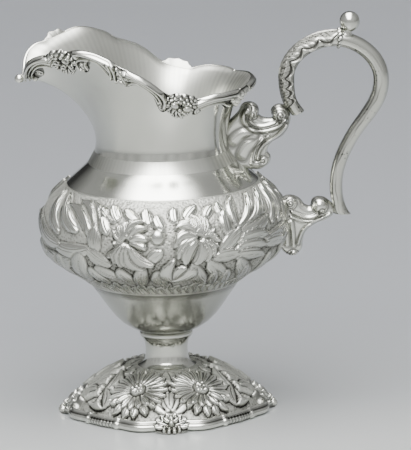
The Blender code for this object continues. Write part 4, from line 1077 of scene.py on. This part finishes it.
# Painted shade: a broad darkening round the raised work, where shade falls about it, over a darker tone all
# over.
dome_oxide = dome_oxide + np.clip((blurred(dome_relief, 24) - dome_relief) / 0.9 + 0.3, 0, 0.54)
dome_matted = np.clip((1.15 - dome_relief) / 0.6, 0.15, 1)
dome_matted = np.maximum(dome_matted, 0.8 * eased((np.abs(np.cos(spin)) - 0.6) / 0.25)[None, :])
dome_top = dome_base + dome_out * dome_relief[..., None]
under = dome_base[::-6] - dome_out[::-6] * dome_wall
under[0, :, 2] = dome_top[-1, :, 2]
dome_points = np.concatenate([dome_top, under, dome_top[:1]])
plain_below = ((0, len(under) + 1), (0, 0))
dome = sheet("embossed_foot_dome", dome_points,
             oxide=np.pad(dome_oxide, plain_below), matted=np.pad(dome_matted, plain_below))
# Chased: a soft shine, broken up by the marks of the tools, with dark grey lines.
chased = sterling("chased_sterling", "#cfd0c8", "#33322e", 0.2, 0.85)
finish(dome, chased, "chased_silver", "foot_dome")


# The foot's border. Four cast lengths of two reeds with knobs at the clips and a row of pearls on
# the bars between them, soldered round the dome's edge. They carry the jug, so they are flat below.
thin_reed = (0.62, 3.45)  # centres of the two reeds: mm out from the dome's edge, mm up
thick_reed = (1.25, 1.68)
boss_turn = 7.5  # degrees from a boss's middle to the end of a length
clip_turn = 33.6  # degrees from a boss's middle to a clip
pearl_turn = 2.4  # degrees from one pearl to the next


def foot_length(name, first, last, *nodes):
    """One border length between two turns round the foot, in radians."""
    turn = np.linspace(first, last, 220)[None, :]
    near = np.abs((np.degrees(turn) + 45) % 90 - 45)
    knob = np.exp(-(((near - clip_turn) / 1.25) ** 4)) + 0.3 * np.exp(-(((near - 44.999) / 2.4) ** 4))
    bar = eased((near - clip_turn - 1.6) / 1.2)
    pearl = np.abs(np.cos(np.degrees(turn) * math.pi / pearl_turn))
    upper = np.radians(np.linspace(200, 5, 12))[:, None]
    lower = np.radians(np.linspace(62, -72, 18))[:, None]
    thin = 0.72 + 0.25 * knob - 0.12 * bar
    thick = 1.28 - 0.3 * bar + 0.18 * bar * pearl + 0.45 * knob
    level = 0 * turn
    out = np.concatenate([
        level - 0.1, thin_reed[0] + thin * np.cos(upper), thick_reed[0] + thick * np.cos(lower),
        level + 1.2, level - 0.1])
    z = np.concatenate([
        level + 1.0, thin_reed[1] + thin * np.sin(upper), thick_reed[1] + thick * np.sin(lower),
        level, level])
    z = np.maximum(z, 0)
    points = round_axis(border_radius(turn) + 0.3 + out, z, turn)
    closed = with_caps(np.concatenate([points, points[:1]]), 1)
    groove = np.concatenate([
        level, np.clip((0.5 - np.sin(upper)) / 1.2, 0, 1) + level,
        np.clip((lower - 0.7) / 0.4, 0, 1) + 0.8 * bar * (1 - pearl), level, level, level])
    oxide = np.pad(groove, ((0, 0), (1, 1)), mode="edge")
    finish(sheet(name, closed, oxide=oxide), cast, "cast_silver", *nodes)


for first, word in ((0, "handle_far"), (90, "lip_far"), (180, "lip_near"), (270, "handle_near")):
    last = first + 90
    foot_length("foot_border_cast_" + word, math.radians(first + boss_turn), math.radians(last - boss_turn),
                "foot_border_" + word)


# The foot's bosses. Four cast sprays of leaves over a row of drops, soldered on the joints of the
# border. Those at the lip and the handle stand taller, with their leaves drawn out up the dome.
def boss_spray(x, y):
    """A fan of leaves with three small ones and a bead on it, over four drops."""
    relief = np.full_like(x, 0.3)
    for degrees, reach, width in ((-4, 6.6, 2.8), (22, 6.2, 2.8), (48, 5.4, 2.6), (72, 5.2, 2.4)):
        for angle in np.radians([degrees, 180 - degrees]):
            tip = reach * math.cos(angle), -1.0 + 1.1 * reach * math.sin(angle)
            relief = emboss(relief, x, y, (0, -1.0), tip, width,
                            rise=0.9, lift=0.5, fullest=0.66, vein=0.5, chase=0.5)
    relief = petals(relief, x, y, (0, -0.2), (40, 90, 140), 0.4, 3.4, 1.9,
                    rise=0.7, lift=1.2, fullest=0.6, chase=0.6)
    relief = bead(relief, x, y, (0, -0.4), 0.9, 1.5)
    for place, size in ((-2.9, 0.6), (-1.0, 0.72), (1.0, 0.72), (2.9, 0.6)):
        low = -3.5 + 0.07 * place**2
        drop = [(place, low - 0.5), (place * 0.95, low + 0.2), (place * 0.86, low + 0.9)]
        relief = reed(relief, x, y, drop, size, 1.7)
    return relief


boss_ring = bar_radius + 2.5
boss_z = 2.9


def boss_lay(turn, tilt, stretch):
    """Lays a boss on the dome's edge, facing out and up, its leaves drawn out up the dome."""
    outward = np.array([math.cos(turn), math.sin(turn), 0])
    right = np.array([-math.sin(turn), math.cos(turn), 0])
    rising = np.array([0, 0, math.sin(tilt)]) - outward * math.cos(tilt)
    facing = outward * math.sin(tilt) + np.array([0, 0, math.cos(tilt)])
    centre = outward * boss_ring + np.array([0, 0, boss_z])

    def lay(x, y, h):
        """Points of the boss, bent round the foot and flat where it stands on the table."""
        y = np.where(y > 0, y * stretch, y)
        bent = centre + right * x[..., None] + rising * y[..., None] + facing * h[..., None]
        bent = bent - outward * (x**2 / 75)[..., None]
        bent[..., 2] = np.maximum(bent[..., 2], 0)
        return bent

    return lay


def boss_outline(spokes):
    """A scalloped oval, taller above."""
    tall = np.where(np.sin(spokes) > 0, 5.6, 4.8)
    oval = 1 / np.sqrt((np.cos(spokes) / 6.6) ** 2 + (np.sin(spokes) / tall) ** 2)
    return oval * (1 + 0.04 * np.cos(14 * spokes))


for turn, word in ((0.0, "handle"), (math.pi / 2, "far"), (math.pi, "lip"), (-math.pi / 2, "near")):
    if word in ("handle", "lip"):
        tilt, stretch, back, tarnish = 46, 1.8, -3.4, (0.5, 0.66)
    else:
        tilt, stretch, back, tarnish = 38, 1.0, -1.0, tarnished
    lay = boss_lay(turn, math.radians(tilt), stretch)
    cast_disc("foot_spray_" + word, lay, boss_outline, boss_spray, back, tarnish, "foot_boss_" + word)


# The brackets. Two solid castings that carry the handle, each a pair of scrolls with a fluted leaf
# that spreads onto the body. They are soldered to the neck and to the side of the bowl.
volute_radius = 3.4
groove_width = 0.3
blank_flat = 0.3  # half the thickness of a casting's blank: its flat edge, then its rounding
blank_round = 1.0
upper_volute = np.array([neck_radius + 5.79 * volute_radius, neck_z + 2.56 * volute_radius])
lower_volute = np.array([bowl_radius + 3.76 * volute_radius, bowl_base + 0.64 * bowl_height])


def bracket_cast(name, volute, outline, knobs, flutes, spirals, *nodes):
    """A casting from its outline about a volute, in volute radii. Knobs are (place, radius), flutes
    are ridges and spirals grooves of chased line."""
    bpy.ops.object.select_all(action="DESELECT")
    bpy.ops.curve.primitive_bezier_circle_add()
    piece = bpy.context.object
    piece.name = name
    curve = piece.data
    curve.dimensions = "2D"
    curve.fill_mode = "BOTH"
    curve.extrude = blank_flat * mm
    curve.bevel_depth = blank_round * mm
    curve.bevel_resolution = 4
    curve.resolution_u = 24
    curve.splines.clear()
    spline = curve.splines.new("BEZIER")
    spline.bezier_points.add(len(outline) - 1)
    for knot, (x, z) in zip(spline.bezier_points, outline):
        knot.co = ((volute[0] + x * volute_radius) * mm, (volute[1] + z * volute_radius) * mm, 0)
        knot.handle_left_type = knot.handle_right_type = "AUTO"
    spline.use_cyclic_u = True
    piece.rotation_euler = (math.pi / 2, 0, 0)
    bpy.ops.object.convert(target="MESH")
    piece = bpy.context.object
    bpy.ops.object.transform_apply()
    co = point_places(piece) / mm
    border = np.unique(np.round(co[np.abs(co[:, 1]) < blank_flat + 0.05][:, [0, 2]], 3), axis=0)
    remesh = piece.modifiers.new("fine_grid", "REMESH")
    remesh.mode = "VOXEL"
    remesh.voxel_size = 0.2 * mm
    bpy.ops.object.modifier_apply(modifier=remesh.name)
    co = point_places(piece) / mm
    spot = co[:, [0, 2]]

    def nearest(points):
        """Distance from each of the casting's points to the nearest of some others, seen from the side."""
        return np.min([np.hypot(*(spot - point).T) for point in points], axis=0)

    inset = nearest(border)
    thick = 0.9 + 2.1 * np.sqrt(1 - (1 - np.clip(inset / 2.6, 0, 1)) ** 2)
    oxide = np.clip(1 - inset / 0.5, 0, 1) * 0.5
    for (x, z), radius in knobs:
        far = np.hypot(*(spot - volute - np.array([x, z]) * volute_radius).T) / (radius * volute_radius)
        knob = 1.2 + 1.25 * radius * volute_radius * np.sqrt(np.clip(1 - far**2, 0, 1))
        thick = np.where(far < 1, np.maximum(thick, knob), thick)
        oxide = np.maximum(oxide, bell(far - 1.04, 0.12))
    for points, width, height in flutes:
        line, _ = smooth_line(np.array(points) * volute_radius + volute, 90)
        ridge = nearest(line)
        beside = ridge - 1.6 * width
        thick = thick + height * (bell(ridge, width) - 0.35 * bell(beside, 0.6 * width))
        oxide = np.maximum(oxide, 0.8 * bell(beside, 0.5 * width))
    for (x, z), radius, start, turns in spirals:
        t = np.linspace(0, 1, 80)[:, None]
        swing = start + 2 * math.pi * turns * t
        ring = np.concatenate([np.cos(swing), np.sin(swing)], axis=1)
        line = np.array([x, z]) + radius * (1 - 0.85 * t) * ring
        groove = nearest(line * volute_radius + volute)
        thick = thick - 0.55 * bell(groove, groove_width)
        oxide = np.maximum(oxide, bell(groove, groove_width))
    co[:, 1] = co[:, 1] / (blank_flat + blank_round) * thick
    neck_wall = np.interp(co[:, 2], back_line[:, 2], back_line[:, 0])
    wall = np.where(co[:, 2] < neck_z, girth_of(co[:, 2]), neck_wall) - 0.4
    out = np.hypot(co[:, 0], co[:, 1])
    co[:, :2] *= np.maximum(1, wall / out)[:, None]
    piece.data.vertices.foreach_set("co", (co * mm + (axis_x, 0, 0)).ravel())
    add_mark(piece, "oxide", oxide)
    soften = piece.modifiers.new("cast_softness", "SMOOTH")
    soften.factor = 0.5
    soften.iterations = 2
    bpy.ops.object.modifier_apply(modifier=soften.name)
    bpy.ops.object.shade_smooth()
    finish(piece, cast_scroll, "cast_silver", *nodes)


back_line = lip_point(np.array(math.pi), np.linspace(0, 1, 30))
# Cast like the border, but rubbed cleaner: its lines are dark grey.
cast_scroll = sterling("cast_scroll_sterling", "#d4d5cd", "#302f2b", 0.17, 0.85)
bracket_cast(
    "upper_scroll_bracket", upper_volute,
    [(0.8, -0.24), (0.2, 0.71), (-0.71, 0.41), (-0.59, -0.47), (-1.59, -0.68), (-2.53, -0.18),
     (-2.71, 0.82), (-3.71, 1.06), (-4.41, 0.12), (-5.59, -1.18), (-6.03, -3.53), (-5.0, -5.41),
     (-3.38, -5.76), (-2.0, -5.65), (-1.41, -4.88), (-1.76, -4.12), (-1.35, -3.12), (0.12, -2.12),
     (0.71, -1.06)],
    [((-0.05, -0.02), 0.85), ((-3.1, 0.3), 0.75), ((-2.05, -5.0), 0.55)],
    [([(-3.6, 0.75), (-4.05, -0.2), (-3.75, -1.0), (-2.6, -1.7), (-1.5, -1.66), (-0.3, -1.25), (0.5, -0.6)],
      0.8, 1.1),
     ([(-3.1, 0.1), (-3.3, -0.6), (-2.5, -1.15), (-1.5, -1.15), (-0.6, -0.85)], 0.55, 0.8),
     ([(0.6, -1.2), (-0.2, -2.1), (-1.2, -2.75), (-2.0, -3.3), (-2.5, -4.1), (-2.6, -4.8)], 0.6, 1.0),
     ([(-2.6, -2.6), (-3.8, -3.4), (-4.3, -4.3)], 1.5, 0.55),
     ([(-3.0, -1.9), (-4.4, -2.1), (-5.2, -2.7)], 1.5, 0.6),
     ([(-2.0, -2.5), (-2.6, -3.2), (-3.1, -4.4), (-3.3, -5.3)], 0.5, 0.5),
     ([(-1.4, -2.3), (-2.2, -2.9), (-2.8, -4.0), (-3.0, -5.0)], 0.45, 0.5)],
    [((0.0, -0.1), 0.72, 2.4, -1.9), ((-2.05, -5.05), 0.4, 1.6, 1.2)],
    "upper_bracket")
bracket_cast(
    "lower_scroll_bracket", lower_volute,
    [(1.2, -0.75), (0.5, 0.3), (0.05, 0.5), (-0.65, 0.41), (-0.94, -0.35), (-1.82, -0.29), (-2.59, 0.53),
     (-3.65, 0.76), (-4.53, 0.0), (-4.85, -2.35), (-4.24, -4.65), (-3.41, -5.29), (-2.53, -4.94),
     (-2.29, -3.76), (-1.88, -2.82), (-0.65, -1.88), (0.65, -1.4)],
    [((-0.15, -0.1), 0.9), ((-3.35, 0.3), 0.72), ((-3.15, -5.55), 0.7)],
    [([(-3.2, -0.6), (-2.2, -1.1), (-1.2, -1.3), (-0.4, -1.0)], 0.55, 0.8),
     ([(-3.3, -1.2), (-2.2, -1.6), (-1.0, -1.7), (0.1, -1.3)], 0.5, 0.7),
     ([(-4.0, -0.6), (-4.05, -1.6), (-3.9, -2.8), (-3.8, -4.2)], 0.8, 0.5),
     ([(-3.3, -1.8), (-3.2, -2.8), (-3.1, -4.4)], 0.7, 0.5),
     ([(0.9, -1.0), (-0.6, -1.75), (-1.9, -2.6), (-2.6, -4.2)], 0.5, 0.8)],
    [((-3.35, 0.3), 0.5, 1.0, 1.6), ((0.0, -0.75), 0.5, 0.6, 0.8), ((-3.15, -5.5), 0.45, 2.0, 1.4)],
    "lower_bracket")


# The handle. A hollow silver bar, struck in two halves and soldered along the mid-plane. It is round,
# with a flat strip inside the grip, and both its ends flare into a fishtail past the brackets.
bar_thick = 3.1
bar_thin = 2.3
grip_rise = 36.0  # from the neck's waist to the top of the bar's centre
grip_reach = 84.4  # from the jug's axis to the bar's back
grip_back = grip_reach - bar_thick
grip_top = neck_z + grip_rise
arm_x = upper_volute[0] + 0.88 * volute_radius
elbow = lower_volute + np.array([0.487, 0.388]) * (np.array([grip_back, grip_top]) - lower_volute)
grip_knots = [  # centre, which way the bar runs, radius
    (upper_volute + np.array([1.85, 0.18]) * volute_radius, (-0.58, 0.81), 0.72 * bar_thick),
    ((arm_x, neck_z + 0.61 * grip_rise), (0, 1), 0.88 * bar_thick),
    (((arm_x + grip_back) / 2, grip_top), (1, 0), 0.94 * bar_thick),
    ((grip_back, neck_z + 0.57 * grip_rise), (0, -1), bar_thick),
    (elbow, (-0.5, -0.87), 0.85 * bar_thick),
    (lower_volute + np.array([1.65, 1.76]) * volute_radius, (0, -1), 1.1 * bar_thin),
    (lower_volute + np.array([2.47, -1.06]) * volute_radius, (0.55, -0.83), bar_thin),
]


def grip_at(place):
    """Centres, directions and radii of the bar at places from 0 to 6, one for each stretch."""
    place = np.asarray(place, float)
    k = np.clip(place.astype(int), 0, 5)
    t = (place - k)[:, None]
    starts = np.array([centre for centre, _, _ in grip_knots])
    ways = np.array([way for _, way, _ in grip_knots], float)
    sizes = np.array([size for _, _, size in grip_knots])
    pull = 0.37 * np.linalg.norm(starts[k + 1] - starts[k], axis=1)[:, None]
    a, d = starts[k], starts[k + 1]
    b, c = a + ways[k] * pull, d - ways[k + 1] * pull
    spot = a * (1 - t) ** 3 + 3 * b * t * (1 - t) ** 2 + 3 * c * t**2 * (1 - t) + d * t**3
    way = (b - a) * (1 - t) ** 2 + 2 * (c - b) * t * (1 - t) + (d - c) * t**2
    way = way / np.linalg.norm(way, axis=1)[:, None]
    return spot, way, sizes[k] + (sizes[k + 1] - sizes[k]) * eased(t[:, 0])


places = np.concatenate([np.linspace(0, 1, 33)[:-1], np.linspace(1, 5, 97)[:-1], np.linspace(5, 6, 33)])
centre, way, radius = grip_at(places)
outer = np.stack([-way[:, 1], way[:, 0]], -1)
from_start = np.concatenate([[0], np.cumsum(np.linalg.norm(np.diff(centre, axis=0), axis=1))])
to_end = from_start[-1] - from_start
head = eased(1 - from_start / 5.0)[:, None]
tail = eased(1 - to_end / 6.0)[:, None]
size = radius[:, None]
around = np.linspace(0, math.pi, 61)
across = np.maximum(np.cos(around), -0.86)
seam = np.minimum(around, math.pi - around)
half_in = size * (1 + 0.16 * head + 0.12 * tail) * across
half_in = half_in - 0.15 * bell(seam, 0.07) * np.sign(across) - 0.7 * tail
slide = -0.65 * head + (0.65 * head + 2.0 * tail) * across
flat = centre[:, None] + outer[:, None] * half_in[..., None] + way[:, None] * slide[..., None]
wide = 0.02 + size * (1 + 0.05 * head) * np.sin(around)
ahead = np.stack([way[:, 0], 0 * way[:, 0], way[:, 1]], -1)

# A painted dark reflection lies on the inner side and along the flat strip's edges, painted shade lies along
# the outside, and a dark streak wanders down the side.
run = from_start[:, None]
inward = np.degrees(around)
bar_shade_and_streak = 0.85 * bell(inward - 121, 4) + 0.6 * bell(inward - 146, 5)
bar_shade_and_streak = bar_shade_and_streak + 0.3 * eased((inward - 118) / 8) + 0.22 * eased((38 - inward) / 26)
wander = 97 + 7 * np.sin(run / 3.7) + 4 * np.sin(run / 1.3)
dark_streak = bell(inward - wander, 5) * eased((run / run[-1] - 0.42) / 0.2)
bar_shade_and_streak = bar_shade_and_streak + 0.8 * dark_streak * (0.65 + 0.35 * np.sin(run / 2.1))
bar_shade_and_streak = np.pad(np.concatenate([bar_shade_and_streak, bar_shade_and_streak[:, :1]], axis=1), ((2, 1), (0, 0)))
# Worn by hands: a greyer silver with sharp reflections and black specks.
worn = sterling("worn_sterling", "#c4c5bd", "#2b2a26", 0.13, 0.9, specks=0.9)
for side, word in ((-1.0, "near"), (1.0, "far")):
    half = np.stack([flat[..., 0], side * wide, flat[..., 1]], -1)
    half = np.concatenate([half, half[:, :1]], axis=1)
    first, last = half[0].mean(axis=0), half[-1].mean(axis=0)
    rounded = first + 0.86 * (half[0] - first) - 0.25 * ahead[0]
    first_cap = 0 * rounded + first - 0.1 * ahead[0]
    last_cap = 0 * rounded + last + 0.1 * ahead[-1]
    closed = np.concatenate([[first_cap, rounded], half, [last_cap]])
    struck = sheet("struck_handle_" + word, closed, oxide=bar_shade_and_streak)
    finish(struck, worn, "polished_silver", "handle_half_" + word)


# The handle's leaf. A cast silver acanthus, soldered over the front of the arm, with lobed edges that
# turn up off the bar, side veins and a ridge along its back.
leaf_places = np.linspace(0.22, 2.05, 150)
centre, way, radius = grip_at(leaf_places)
outer = np.stack([-way[:, 1], way[:, 0]], -1)
run = np.linspace(0, 1, len(leaf_places))[:, None]
lobes = 7
turned_up = np.linspace(-1, 1, 81)[None, :]
share = np.abs(turned_up)
scallop = np.abs(np.sin(math.pi * lobes * run)) ** 0.8
spread = 82 + 42 * scallop - 25 * eased((run - 0.93) / 0.07) - 35 * eased((0.05 - run) / 0.05)
swing = turned_up * np.radians(spread)
slant = lobes * run + 0.75 * (1 - share)
veins = np.abs(np.sin(math.pi * 3 * slant))
height = 0.35 + 0.3 * share * np.sin(math.pi * (slant % 1)) ** 0.7 + 0.1 * veins
height = height + 0.35 * bell(turned_up, 0.07) + 0.35 * bell(share - 0.95, 0.05)
height = height - 0.3 * bell(share - 0.82, 0.05)
leaf_oxide = 0.5 * np.clip((0.4 - veins) / 0.3, 0, 1) * eased((share - 0.12) / 0.1)
leaf_oxide = leaf_oxide + 0.95 * bell(share - 0.82, 0.08) + 0.3 + 0.4 * (share < 0.5)
leaf_oxide = np.where(share > 0.9, 0.0, leaf_oxide)
leaf_matted = eased((run - 0.2) / 0.1) * (1 - eased((share - 0.5) / 0.1)) * eased((share - 0.1) / 0.05)
reach = radius[:, None] + height
face = np.stack([reach * np.cos(swing), reach * np.sin(swing)], -1)
lining_swing = swing[:, ::-8] * 0.98
lining_reach = radius[:, None] - 0.3
lining = np.stack([lining_reach * np.cos(lining_swing), lining_reach * np.sin(lining_swing)], -1)
section = np.concatenate([face, lining, face[:, :1]], axis=1)
flat = centre[:, None] + outer[:, None] * section[..., :1]
points = np.stack([flat[..., 0], section[..., 1], flat[..., 1]], -1)
points = with_caps(points, 0)
# Painted shadow: the leaf's underside and edge wall are dark, standing for the shadow under its turned-up
# edge.
lining_oxide = np.full((len(run), lining.shape[1]), 0.9)
leaf_oxide = np.clip(np.concatenate([leaf_oxide, lining_oxide, leaf_oxide[:, :1]], axis=1), 0, 1)
leaf_oxide = np.pad(leaf_oxide, ((1, 1), (0, 0)), mode="edge")
leaf_matted = np.pad(leaf_matted, ((0, 0), (0, lining.shape[1] + 1)))
leaf_matted = np.pad(leaf_matted, ((1, 1), (0, 0)), mode="edge")
leaf = sheet("handle_acanthus", points, oxide=leaf_oxide, matted=leaf_matted)
finish(leaf, chased, "chased_silver", "handle_leaf")


# The thumb-piece. A collar of twisted silver wire round the bar, and behind it a spun and polished
# ball on a short neck. Both are soldered on.
collar_place = 2 + 0.5 / 6  # along the bar, whose top is at 2
ball_place = 2 + 1 / 6
spot, way, size = [values[0] for values in grip_at([collar_place])]
round_bar, round_wire = np.meshgrid(np.linspace(0, 2 * math.pi, 121), np.linspace(0, 2 * math.pi, 25))
top = eased(0.5 + 0.9 * np.cos(round_bar))
twist = np.cos(2 * round_wire - 14 * round_bar)
wire = (0.45 + 0.4 * top) * (1 + 0.19 * twist)
ring = size + 0.2 + 0.35 * top + wire * np.cos(round_wire)
ahead = wire * 1.25 * np.sin(round_wire)
lean = np.array([-way[1], way[0]])
flat = spot + lean * (ring * np.cos(round_bar))[..., None] + way * ahead[..., None]
points = np.stack([flat[..., 0], ring * np.sin(round_bar), flat[..., 1]], -1)
collar = sheet("thumb_collar_twist", points, oxide=np.clip(-twist, 0, 1))
finish(collar, cast, "polished_silver", "thumb_collar")

spot, way, size = [values[0] for values in grip_at([ball_place])]
ball_radius = 3.8
ball_lift = size * 1.06 + 0.3 + ball_radius
neck_foot = 1.0 - ball_lift
ball_profile = [(0.1, neck_foot), (2.6, neck_foot), (2.3, neck_foot + 1.6), (1.75, -ball_radius * 0.94)]
ball_turns = np.radians(np.linspace(-62, 88, 28))
ball_profile += [(ball_radius * math.cos(a), ball_radius * math.sin(a)) for a in ball_turns]
ball = spun("thumb_ball_polished", ball_profile, 64, 0.0, filled=True)
lean = Vector((-way[1], 0, way[0]))
ball.rotation_euler = lean.to_track_quat("Z", "Y").to_euler()
ball.location = Vector((spot[0], 0, spot[1])) * mm + lean * ball_lift * mm + Vector((axis_x, 0, 0))
bpy.ops.object.transform_apply()
finish(ball, polished, "polished_silver", "thumb_ball")


# The tip bead. A round cast drop, soldered on at the point of the lip, where it closes the border. It
# is a little wider below.
tip = lip_point(np.array(0.0), np.array(1.0))
bead_radius = 1.6
bead_out = 1.2
drop_turns = np.radians(np.linspace(-88, 88, 24))
drop_profile = [
    (bead_radius * math.cos(a) * (1.12 - 0.12 * math.sin(a)), bead_radius * math.sin(a)) for a in drop_turns
]
drop = spun("rim_tip_drop", drop_profile, 40, 0.0, filled=True)
drop.location = ((tip[0] - bead_out) * mm + axis_x, 0, tip[2] * mm)
bpy.ops.object.transform_apply()
finish(drop, cast, "cast_silver", "rim_tip_bead")
